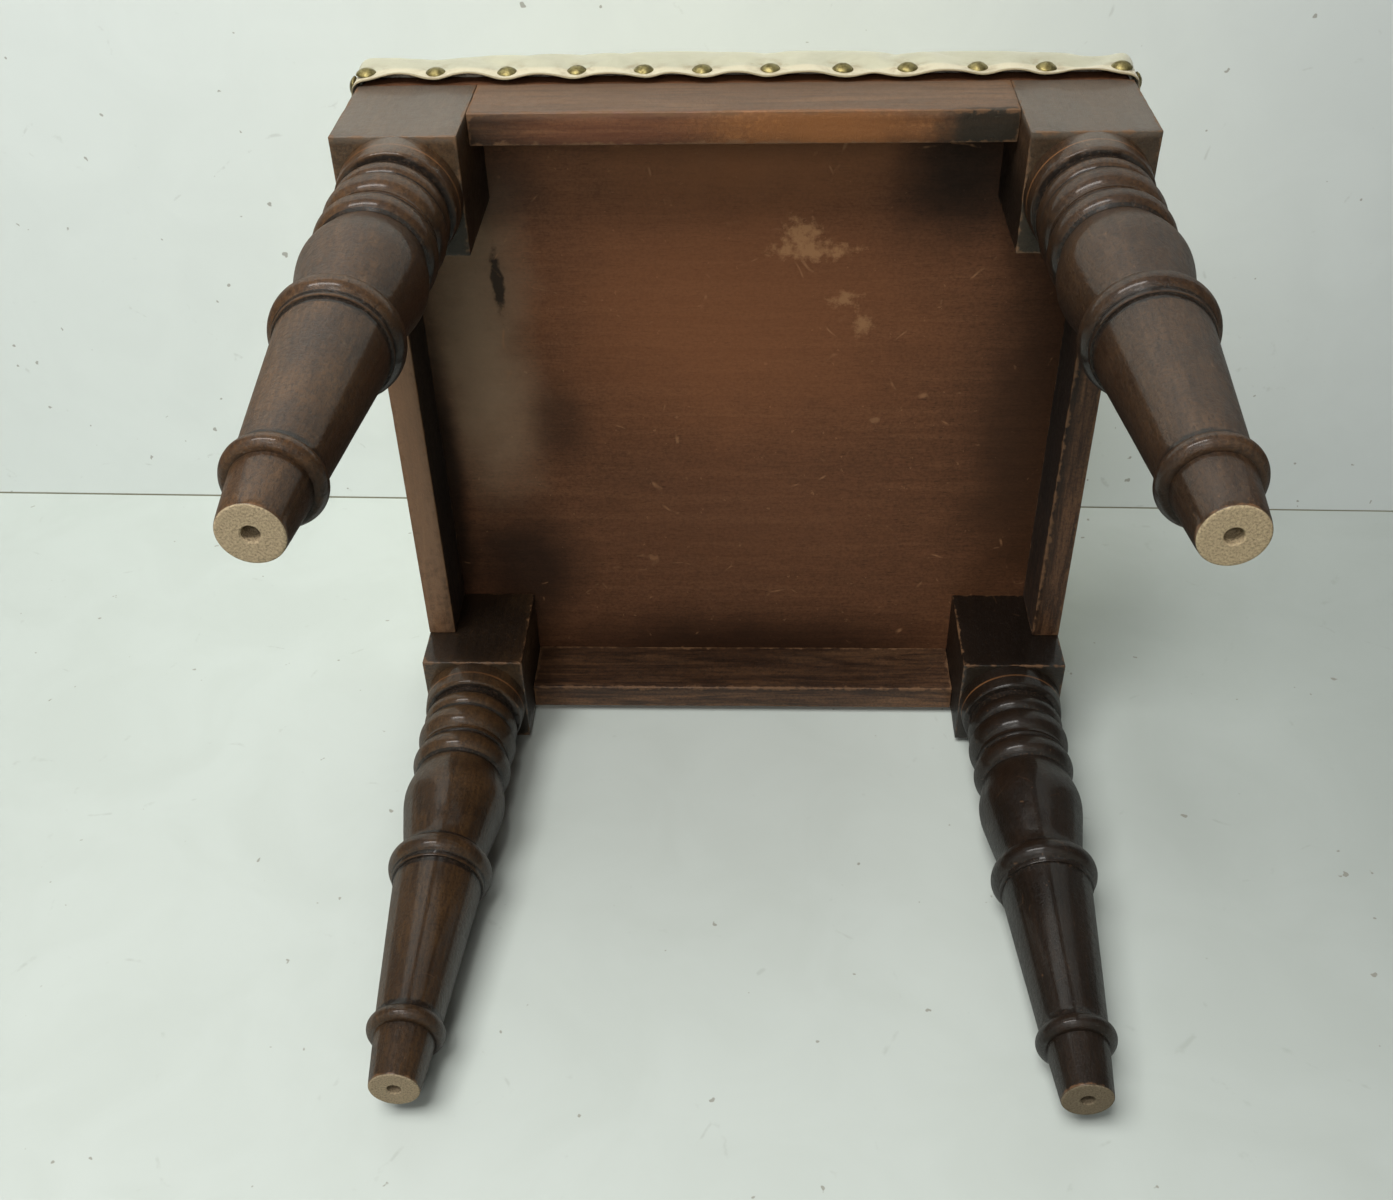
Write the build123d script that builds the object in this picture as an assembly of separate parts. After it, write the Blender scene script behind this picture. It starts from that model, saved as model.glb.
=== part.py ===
"""Piano bench: a square padded stool on four turned legs.

Frame: origin on the floor at the middle of the bench, +Z up, front rail at -Y.
Sizes in millimetres.
"""
from build123d import *
import os

os.makedirs("parts", exist_ok=True)

# ---- wooden frame -------------------------------------------------------
bench_width = 457.0         # across the leg squares, left to right
bench_depth = 457.0         # across the leg squares, front to back
leg_square = 71.5           # side of the square block at a leg's top
turned_height = 321.5       # floor to the square's lower face
square_drop = 33.0          # how far the square hangs below the rails
rail_height = 47.0
rail_thickness = 19.0
corner_round = 2.0          # the square's outer upright edge

# ---- dowel joints between rails and leg squares -------------------------
dowel_diameter = 8.0
dowel_length = 40.0
dowel_spacing = 24.0        # between the two dowels of a joint
dowel_end_gap = 1.0         # glue room past each end of a dowel

# ---- socket in each foot ------------------------------------------------
foot_socket_diameter = 8.0
foot_socket_depth = 32.0

# ---- seat: board, foam, wadding, cover ----------------------------------
board_thickness = 22.0
board_corner = 5.0          # rounding of the board's upright edges
foam_height = 36.0
foam_edge_round = 20.0      # rounding of the foam's top edge
wadding_thickness = 3.0
cover_thickness = 1.5
cover_lift = 0.8            # the cover's hem stays this far above the rails

# ---- screws that hold the board -----------------------------------------
screw_diameter = 4.5
screw_head_diameter = 9.0
screw_length = 45.0
screw_slot_width = 1.2
screw_slot_depth = 1.2

# ---- upholstery nails ---------------------------------------------------
nails_per_side = 12
nail_head_diameter = 12.7
nail_head_height = 3.4
nail_shank_diameter = 1.8
nail_shank_length = 16.0
nail_height = 7.8           # nail centre above the board's underside
nail_corner_inset = 5.5     # first nail's centre from the frame's corner
nail_stagger = 3.4          # side nails sit higher, so shanks pass at a corner
nail_drift = (-0.8, 0.3, 2.5, 3.4, 2.6, -3.6, -3.8, -1.7, -3.9, -3.5, -4.4, -0.9)  # off even pitch
nail_rise = (-0.4, -0.6, -0.9, 0.3, 0.6, 0.3, 0.8, 0.5, 0.7, 0.4, -0.5, 0.2)  # off the nail line

# ---- turned foot, heights from the floor up ------------------------------
foot_radius = 14.8
foot_edge_round = 1.2
foot_height, foot_top_radius = 32.5, 18.0
ankle_ring_height = 10.5
ankle_ring_radius = 23.2
ankle_ring_end_radius = 20.0
shaft_foot_rise, shaft_low_radius = 1.5, 19.6

# ---- turned members under the square, heights from the square down -------
shoulder_height = 18.5
shoulder_lip = 1.3          # how far the shoulder draws in at its lower edge
shoulder_setback = 0.25     # the turning stays this far inside the square's faces
groove_height = 5.5
bead_end_radius = 30.0
top_bead_height, top_bead_radius = 13.0, 32.9
mid_bead_height, mid_bead_radius = 20.0, 34.0
bead_fillet_height, bead_fillet_radius = 2.0, 30.4
cove_height, cove_radius = 3.5, 28.2
low_bead_height, low_bead_radius = 18.5, 33.5
vase_top_radius = 28.8
vase_crown_height, vase_radius = 22.5, 33.6
vase_flank_height, vase_flank_radius = 23.0, 30.6
vase_foot_height, neck_radius = 21.0, 26.8
neck_height, neck_low_radius = 8.0, 27.2
collar_bead_height, collar_radius = 15.5, 33.4
collar_fillet_height, collar_fillet_radius = 3.5, 29.6
shaft_high_radius = 28.2

# ---- worked out from the above ------------------------------------------
square_top = turned_height + square_drop + rail_height
rail_low = turned_height + square_drop
leg_x = (bench_width - leg_square) / 2
leg_y = (bench_depth - leg_square) / 2
board_top = square_top + board_thickness
ankle_ring_high = foot_height + ankle_ring_height
shaft_low = ankle_ring_high + shaft_foot_rise
shoulder_low = turned_height - shoulder_height
top_bead_high = shoulder_low - groove_height
mid_bead_high = top_bead_high - top_bead_height
fillet_high = mid_bead_high - mid_bead_height
cove_high = fillet_high - bead_fillet_height
low_bead_high = cove_high - cove_height
vase_top = low_bead_high - low_bead_height
vase_belly = vase_top - vase_crown_height
vase_flank = vase_belly - vase_flank_height
neck = vase_flank - vase_foot_height
collar_bead_high = neck - neck_height
collar_bead_low = collar_bead_high - collar_bead_height
shaft_high = collar_bead_low - collar_fillet_height
padded_out = wadding_thickness + cover_thickness

CORNERS = {
    "front_left": (-1, -1),
    "front_right": (1, -1),
    "back_left": (-1, 1),
    "back_right": (1, 1),
}


def arc(r0, z0, r1, z1, r2, z2):
    """Arc through three points of the turned outline, each a radius and a height."""
    return ThreePointArc((r0, z0), (r1, z1), (r2, z2))


def bead(z0, z1, end_radius, crest_radius):
    """Half-round member that swells from end_radius to crest_radius and back."""
    return arc(end_radius, z0, crest_radius, (z0 + z1) / 2, end_radius, z1)


def turning():
    """The round lower part of a leg, from the foot up to the square."""
    shoulder_radius = leg_square / 2 - shoulder_setback
    lip_radius = shoulder_radius - shoulder_lip
    with BuildPart() as turned:
        with BuildSketch(Plane.XZ):
            with BuildLine():
                Polyline((0, 0), (foot_radius - foot_edge_round, 0), (foot_radius, foot_edge_round),
                         (foot_top_radius, foot_height), (ankle_ring_end_radius, foot_height))
                bead(foot_height, ankle_ring_high, ankle_ring_end_radius, ankle_ring_radius)
                Polyline((ankle_ring_end_radius, ankle_ring_high), (shaft_low_radius, shaft_low),
                         (shaft_high_radius, shaft_high), (collar_fillet_radius, shaft_high),
                         (collar_fillet_radius, collar_bead_low))
                bead(collar_bead_low, collar_bead_high, collar_fillet_radius, collar_radius)
                Line((collar_fillet_radius, collar_bead_high), (neck_low_radius, collar_bead_high))
                Spline((neck_low_radius, collar_bead_high), (neck_radius, neck),
                       (vase_flank_radius, vase_flank), (vase_radius, vase_belly),
                       (vase_top_radius, vase_top))
                bead(vase_top, low_bead_high, vase_top_radius, low_bead_radius)
                arc(vase_top_radius, low_bead_high,
                    cove_radius, (low_bead_high + cove_high) / 2,
                    bead_fillet_radius, cove_high)
                Polyline((bead_fillet_radius, cove_high), (bead_fillet_radius, fillet_high),
                         (bead_end_radius, fillet_high))
                bead(fillet_high, mid_bead_high, bead_end_radius, mid_bead_radius)
                bead(mid_bead_high, top_bead_high, bead_end_radius, top_bead_radius)
                Polyline((bead_end_radius, top_bead_high), (bead_end_radius, shoulder_low),
                         (lip_radius, shoulder_low))
                Spline((lip_radius, shoulder_low), (shoulder_radius, turned_height),
                       tangents=[(0.25, 1), (0, 1)])
                Polyline((shoulder_radius, turned_height), (0, turned_height), (0, 0))
            make_face()
        revolve(axis=Axis.Z)
    return turned.part


def mirrored(shape, side_x, side_y):
    """Copy of a front-left shape, moved to another corner by mirroring."""
    if side_x > 0:
        shape = mirror(shape, about=Plane.YZ)
    if side_y > 0:
        shape = mirror(shape, about=Plane.XZ)
    return shape


def rod(centre, along, diameter, length):
    """Round bar with its middle at centre and its axis along a unit vector."""
    start = Vector(*centre) - Vector(*along) * (length / 2)
    place = Plane(origin=start, z_dir=along)
    return place * Cylinder(diameter / 2, length, align=(Align.CENTER, Align.CENTER, Align.MIN))


def dowel_bars(length):
    """The four dowel bars of the front-left corner, at a given length."""
    joint_x = -bench_width / 2 + leg_square
    joint_y = -bench_depth / 2 + leg_square
    rail_mid_x = -(bench_width - rail_thickness) / 2
    rail_mid_y = -(bench_depth - rail_thickness) / 2
    bars = []
    for side in (-1, 1):
        height = rail_low + rail_height / 2 + side * dowel_spacing / 2
        bars.append(rod((joint_x, rail_mid_y, height), (1, 0, 0), dowel_diameter, length))
        bars.append(rod((rail_mid_x, joint_y, height), (0, 1, 0), dowel_diameter, length))
    return bars


def cut_all(shape, tools):
    """Shape with every tool cut away, one after another."""
    for tool in tools:
        shape = shape - tool
    return shape


def front_left_leg():
    """Square block and turning in one piece, bored for dowels and foot socket."""
    block_height = square_top - turned_height
    block = Pos(-leg_x, -leg_y, turned_height) * Box(
        leg_square, leg_square, block_height, align=(Align.CENTER, Align.CENTER, Align.MIN)
    )
    outer_edge = block.edges().filter_by(Axis.Z).sort_by(lambda e: e.center().X + e.center().Y)[0]
    block = fillet(outer_edge, corner_round)
    leg = block + Pos(-leg_x, -leg_y, 0) * turning()
    socket = Pos(-leg_x, -leg_y, 0) * Cylinder(
        foot_socket_diameter / 2, foot_socket_depth, align=(Align.CENTER, Align.CENTER, Align.MIN)
    )
    leg = leg - socket
    return cut_all(leg, dowel_bars(dowel_length + 2 * dowel_end_gap))


def rails():
    """The four rails, square to each other and flush with the leg squares' outside."""
    span_x = bench_width - 2 * leg_square
    span_y = bench_depth - 2 * leg_square
    middle_x = (bench_width - rail_thickness) / 2
    middle_y = (bench_depth - rail_thickness) / 2
    low = (Align.CENTER, Align.CENTER, Align.MIN)
    made = {
        "rail_front": Pos(0, -middle_y, rail_low) * Box(span_x, rail_thickness, rail_height, align=low),
        "rail_back": Pos(0, middle_y, rail_low) * Box(span_x, rail_thickness, rail_height, align=low),
        "rail_left": Pos(-middle_x, 0, rail_low) * Box(rail_thickness, span_y, rail_height, align=low),
        "rail_right": Pos(middle_x, 0, rail_low) * Box(rail_thickness, span_y, rail_height, align=low),
    }
    bores = dowel_bars(dowel_length + 2 * dowel_end_gap)
    for name in made:
        for side_x, side_y in CORNERS.values():
            for bore in bores:
                tool = mirrored(bore, side_x, side_y)
                if near(made[name], tool):
                    made[name] = made[name] - tool
    return made


def near(shape, tool):
    """True if the two shapes' boxes meet."""
    a = shape.bounding_box()
    b = tool.bounding_box()
    apart_x = a.min.X > b.max.X or b.min.X > a.max.X
    apart_y = a.min.Y > b.max.Y or b.min.Y > a.max.Y
    apart_z = a.min.Z > b.max.Z or b.min.Z > a.max.Z
    return not (apart_x or apart_y or apart_z)


def nail_places(side):
    """Centres of the nails on one side, on the cover's face, with the way they point."""
    across_x = side in ("front", "back")
    width = bench_width if across_x else bench_depth
    half_across = (bench_depth if across_x else bench_width) / 2 + padded_out
    line = square_top + nail_height + (0 if across_x else nail_stagger)
    first = -width / 2 + nail_corner_inset
    pitch = (width - 2 * nail_corner_inset) / (nails_per_side - 1)
    backwards = side in ("back", "right")
    places = []
    for index in range(nails_per_side):
        pick = (nails_per_side - 1 - index if backwards else index) % len(nail_drift)
        drift = -nail_drift[pick] if backwards else nail_drift[pick]
        along = first + index * pitch + drift
        spots = {
            "front": ((along, -half_across), (0, 1, 0)),
            "back": ((along, half_across), (0, -1, 0)),
            "left": ((-half_across, along), (1, 0, 0)),
            "right": ((half_across, along), (-1, 0, 0)),
        }
        (x, y), inward = spots[side]
        places.append(((x, y, line + nail_rise[pick]), inward))
    return places


def nail():
    """One nail: domed head above the local XY plane, shank below it."""
    half = nail_head_diameter / 2
    sphere_radius = (half**2 + nail_head_height**2) / (2 * nail_head_height)
    ball = Pos(0, 0, nail_head_height - sphere_radius) * Sphere(sphere_radius)
    keep = Box(nail_head_diameter * 2, nail_head_diameter * 2, nail_head_height * 2,
               align=(Align.CENTER, Align.CENTER, Align.MIN))
    return (ball & keep) + shank()


def shank():
    """The nail's shank, which runs down from the local XY plane."""
    return Cylinder(nail_shank_diameter / 2, nail_shank_length,
                    align=(Align.CENTER, Align.CENTER, Align.MAX))


def placed(shape, centre, inward):
    """Shape with its local +Z turned away from the inward direction, moved to centre."""
    outward = tuple(-value for value in inward)
    return Plane(origin=centre, z_dir=outward) * shape


def screw_places():
    """Screw centres: one over each leg square and one over the middle of each rail."""
    middle_x = (bench_width - rail_thickness) / 2
    middle_y = (bench_depth - rail_thickness) / 2
    corners = [(side_x * leg_x, side_y * leg_y) for side_x, side_y in CORNERS.values()]
    return corners + [(0, -middle_y), (0, middle_y), (-middle_x, 0), (middle_x, 0)]


def screw_body():
    """Countersunk screw with its flat head's face on the local XY plane."""
    head_height = (screw_head_diameter - screw_diameter) / 2
    top = (Align.CENTER, Align.CENTER, Align.MAX)
    head = Cone(screw_diameter / 2, screw_head_diameter / 2, head_height, align=top)
    return head + Cylinder(screw_diameter / 2, screw_length, align=top)


def screw():
    """The screw with a slot across its head."""
    slot = Box(screw_head_diameter, screw_slot_width, screw_slot_depth,
               align=(Align.CENTER, Align.CENTER, Align.MAX))
    return screw_body() - slot


def padded_block(grow, low, high, edge_round):
    """Block over the board's outline, grown outwards, with a rounded top edge."""
    block = Pos(0, 0, low) * Box(bench_width + 2 * grow, bench_depth + 2 * grow, high - low,
                                 align=(Align.CENTER, Align.CENTER, Align.MIN))
    block = fillet(block.edges().filter_by(Axis.Z), board_corner + grow)
    if edge_round:
        block = fillet(block.faces().sort_by(Axis.Z)[-1].edges(), edge_round)
    return block


def seat():
    """Board, foam, wadding and cover, nested with no gaps."""
    hem = square_top + cover_lift
    foam_top = board_top + foam_height
    wadding_top = foam_top + wadding_thickness
    cover_top = wadding_top + cover_thickness
    board = padded_block(0, square_top, board_top, 0)
    foam = padded_block(0, board_top, foam_top, foam_edge_round)
    core = padded_block(0, hem, foam_top, foam_edge_round)
    wadding_outside = padded_block(wadding_thickness, hem, wadding_top,
                                   foam_edge_round + wadding_thickness)
    cover_outside = padded_block(padded_out, hem, cover_top, foam_edge_round + padded_out)
    wadding = wadding_outside - core
    cover = cover_outside - wadding_outside
    return {"seat_board": board, "seat_foam": foam, "seat_wadding": wadding, "seat_cover": cover}


def write(name, shape):
    """Save one sub-part under its node's name."""
    export_step(shape, f"parts/{name}.step")


def group(solids):
    """Several separate solids as one node."""
    return Compound(children=[solid for shape in solids for solid in shape.solids()])


def main():
    """Build every sub-part and save it."""
    screws = [Pos(x, y, board_top) * screw() for x, y in screw_places()]
    screw_holes = [Pos(x, y, board_top) * screw_body() for x, y in screw_places()]

    leg = front_left_leg()
    for corner, (side_x, side_y) in CORNERS.items():
        corner_leg = mirrored(leg, side_x, side_y)
        holes = [hole for hole in screw_holes if near(corner_leg, hole)]
        write(f"leg_{corner}", cut_all(corner_leg, holes))
        bars = [mirrored(bar, side_x, side_y) for bar in dowel_bars(dowel_length)]
        write(f"dowels_{corner}", group(bars))

    for name, rail in rails().items():
        holes = [hole for hole in screw_holes if near(rail, hole)]
        write(name, cut_all(rail, holes))

    sides = ("front", "back", "left", "right")
    nail_holes = [placed(shank(), *place) for side in sides for place in nail_places(side)]
    layers = seat()
    write("seat_board", cut_all(layers["seat_board"], screw_holes + nail_holes))
    write("seat_foam", layers["seat_foam"])
    write("seat_wadding", cut_all(layers["seat_wadding"], nail_holes))
    write("seat_cover", cut_all(layers["seat_cover"], nail_holes))
    write("board_screws", group(screws))
    for side in sides:
        write(f"nails_{side}", group([placed(nail(), *place) for place in nail_places(side)]))


main()
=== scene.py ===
"""Piano bench: a nailed, padded seat on four turned legs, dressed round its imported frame.

Sizes are in metres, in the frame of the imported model: floor at z = 0, front rail at -Y.
"""
import logging
import math
from collections.abc import Callable, Sequence
from dataclasses import dataclass
from enum import Enum

import bmesh
import bpy
from mathutils import Matrix, Vector, noise


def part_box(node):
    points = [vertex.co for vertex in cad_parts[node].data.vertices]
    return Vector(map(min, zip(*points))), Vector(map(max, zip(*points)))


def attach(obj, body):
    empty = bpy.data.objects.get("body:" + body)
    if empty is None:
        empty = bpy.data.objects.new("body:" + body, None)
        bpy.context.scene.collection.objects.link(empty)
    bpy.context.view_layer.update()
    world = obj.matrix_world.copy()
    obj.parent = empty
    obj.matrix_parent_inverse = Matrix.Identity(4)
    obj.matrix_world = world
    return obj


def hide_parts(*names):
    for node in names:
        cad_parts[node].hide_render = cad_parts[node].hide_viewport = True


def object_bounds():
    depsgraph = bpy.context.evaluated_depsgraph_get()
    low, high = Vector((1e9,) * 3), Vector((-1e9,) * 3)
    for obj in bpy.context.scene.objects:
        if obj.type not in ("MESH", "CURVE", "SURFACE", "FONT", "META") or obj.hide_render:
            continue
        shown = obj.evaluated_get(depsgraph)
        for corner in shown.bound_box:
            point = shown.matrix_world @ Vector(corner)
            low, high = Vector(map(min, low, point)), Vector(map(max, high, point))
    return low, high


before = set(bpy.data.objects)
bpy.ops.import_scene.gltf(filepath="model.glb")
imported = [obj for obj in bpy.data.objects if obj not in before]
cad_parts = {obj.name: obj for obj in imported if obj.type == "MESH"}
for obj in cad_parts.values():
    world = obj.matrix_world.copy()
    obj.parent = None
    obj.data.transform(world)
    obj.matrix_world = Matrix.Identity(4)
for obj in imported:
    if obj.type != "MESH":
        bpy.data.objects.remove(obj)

CAD_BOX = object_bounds()
BODY = "root"
MM = 0.001
LOG = logging.getLogger("bench")

Tint = tuple[float, float, float, float]
Place = tuple[float, float, float]


def tint(red: int, green: int, blue: int) -> Tint:
    """Give the linear colour of a tint named on the 0 to 255 scale.

    Args:
        red: Red part.
        green: Green part.
        blue: Blue part.

    Returns:
        The linear colour with full cover.
    """
    shares = [part / 255 for part in (red, green, blue)]
    straight = [s / 12.92 if s <= 0.04045 else ((s + 0.055) / 1.055) ** 2.4 for s in shares]
    return (*straight, 1.0)


def ease(value: float, low: float, high: float) -> float:
    """Rise smoothly from 0 at low to 1 at high.

    Args:
        value: Where to read the curve.
        low: Where the rise starts.
        high: Where the rise ends.

    Returns:
        A share from 0 to 1.
    """
    share = min(1.0, max(0.0, (value - low) / (high - low)))
    return share * share * (3 - 2 * share)


class GrainWay(Enum):
    """Direction of the wood's fibres, as the stretch of a pattern across them."""

    ALONG_X = (1.0, 14.0, 14.0)
    ALONG_Y = (14.0, 1.0, 14.0)
    ALONG_Z = (14.0, 14.0, 1.0)


class Side(Enum):
    """A side of the seat: its outward direction and the axis that runs along it."""

    FRONT = ((0.0, -1.0, 0.0), 0)
    BACK = ((0.0, 1.0, 0.0), 0)
    LEFT = ((-1.0, 0.0, 0.0), 1)
    RIGHT = ((1.0, 0.0, 0.0), 1)

    @property
    def outward(self) -> Vector:
        """Unit vector that points away from the seat."""
        return Vector(self.value[0])

    @property
    def along(self) -> int:
        """Number of the axis that runs along this side."""
        return self.value[1]


# ---------------------------------------------------------------------------
# node trees
# ---------------------------------------------------------------------------


class Wiring:
    """Short hand for building one shader node tree."""

    def __init__(self, tree: bpy.types.NodeTree) -> None:
        """Keep the tree that the other methods add to."""
        self.tree = tree

    def feed(self, socket: bpy.types.NodeSocket, value: object) -> None:
        """Link a socket to another one, or set its value.

        Args:
            socket: Input socket.
            value: Output socket, number or colour.
        """
        if isinstance(value, bpy.types.NodeSocket):
            self.tree.links.new(value, socket)
        else:
            socket.default_value = value

    def add(self, kind: str, inputs: dict | None = None, **settings: object) -> bpy.types.Node:
        """Add a node.

        Args:
            kind: Type of node.
            inputs: What each input gets, by name or number.
            settings: The node's own properties.

        Returns:
            The new node.
        """
        node = self.tree.nodes.new(kind)
        for key, value in settings.items():
            setattr(node, key, value)
        for key, value in (inputs or {}).items():
            self.feed(node.inputs[key], value)
        return node

    def calc(self, operation: str, first: object, second: object = 0.0) -> bpy.types.NodeSocket:
        """Work out one number from two.

        Args:
            operation: Name of the sum.
            first: First number or socket.
            second: Second number or socket.

        Returns:
            The result's socket.
        """
        return self.add("ShaderNodeMath", {0: first, 1: second}, operation=operation).outputs[0]

    def stretch(self, vector: object, factors: object) -> bpy.types.NodeSocket:
        """Multiply a vector part by part.

        Args:
            vector: Vector socket.
            factors: Three factors.

        Returns:
            The stretched vector's socket.
        """
        settings = {0: vector, 1: factors}
        return self.add("ShaderNodeVectorMath", settings, operation="MULTIPLY").outputs[0]

    def window(self, value: object, low: float, high: float,
               start: float = 0.0, end: float = 1.0) -> bpy.types.NodeSocket:
        """Map a range of values smoothly onto another, held at its ends.

        Args:
            value: Socket to map.
            low: Value that gives start.
            high: Value that gives end.
            start: Lower result.
            end: Upper result.

        Returns:
            The mapped value's socket.
        """
        settings = {0: value, 1: low, 2: high, 3: start, 4: end}
        node = self.add("ShaderNodeMapRange", settings, interpolation_type="SMOOTHSTEP")
        return node.outputs[0]

    def blend(self, share: object, first: object, second: object,
              kind: str = "MIX") -> bpy.types.NodeSocket:
        """Blend two colours.

        Args:
            share: Share of the second colour.
            first: First colour.
            second: Second colour.
            kind: Way of blending.

        Returns:
            The colour's socket.
        """
        node = self.add("ShaderNodeMix", {0: share, 6: first, 7: second},
                        data_type="RGBA", blend_type=kind)
        return node.outputs[2]

    def cloud(self, vector: object, scale: float, detail: float = 3.0,
              roughness: float = 0.5, distortion: float = 0.0) -> bpy.types.NodeSocket:
        """Soft random pattern between 0 and 1.

        Args:
            vector: Coordinates.
            scale: Fineness.
            detail: Number of finer layers.
            roughness: Weight of the finer layers.
            distortion: How far the pattern is bent.

        Returns:
            The pattern's socket.
        """
        settings = {"Vector": vector, "Scale": scale, "Detail": detail,
                    "Roughness": roughness, "Distortion": distortion}
        return self.add("ShaderNodeTexNoise", settings).outputs[0]

    def effect(self, group: bpy.types.NodeTree, **inputs: object) -> bpy.types.Node:
        """Place a shared effect.

        Args:
            group: The effect's node group.
            inputs: What each of its inputs gets.

        Returns:
            The group's node.
        """
        node = self.add("ShaderNodeGroup", node_tree=group)
        for key, value in inputs.items():
            self.feed(node.inputs[key], value)
        return node

    def place(self) -> bpy.types.NodeSocket:
        """Coordinates of the piece in the frame's own metres."""
        return self.add("ShaderNodeTexCoord").outputs["Object"]

    def painted(self, name: str) -> bpy.types.NodeSocket:
        """Value of a mask that was painted on the piece's points."""
        return self.add("ShaderNodeAttribute", attribute_name=name).outputs["Fac"]


def new_effect(name: str, inputs: dict[str, object],
               outputs: Sequence[str]) -> tuple[Wiring, dict, bpy.types.Node]:
    """Start a shared effect.

    Args:
        name: Name of the node group.
        inputs: Default of each input; a tuple makes it a vector.
        outputs: Names of the values that the effect puts out.

    Returns:
        The wiring, the input sockets by name, and the output node.
    """
    tree = bpy.data.node_groups.new(name, "ShaderNodeTree")
    for label, start in inputs.items():
        kind = "NodeSocketVector" if isinstance(start, tuple) else "NodeSocketFloat"
        socket = tree.interface.new_socket(name=label, in_out="INPUT", socket_type=kind)
        socket.default_value = start
    for label in outputs:
        tree.interface.new_socket(name=label, in_out="OUTPUT", socket_type="NodeSocketFloat")
    wiring = Wiring(tree)
    inner = wiring.add("NodeGroupInput")
    outer = wiring.add("NodeGroupOutput")
    return wiring, {label: inner.outputs[label] for label in inputs}, outer


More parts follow.
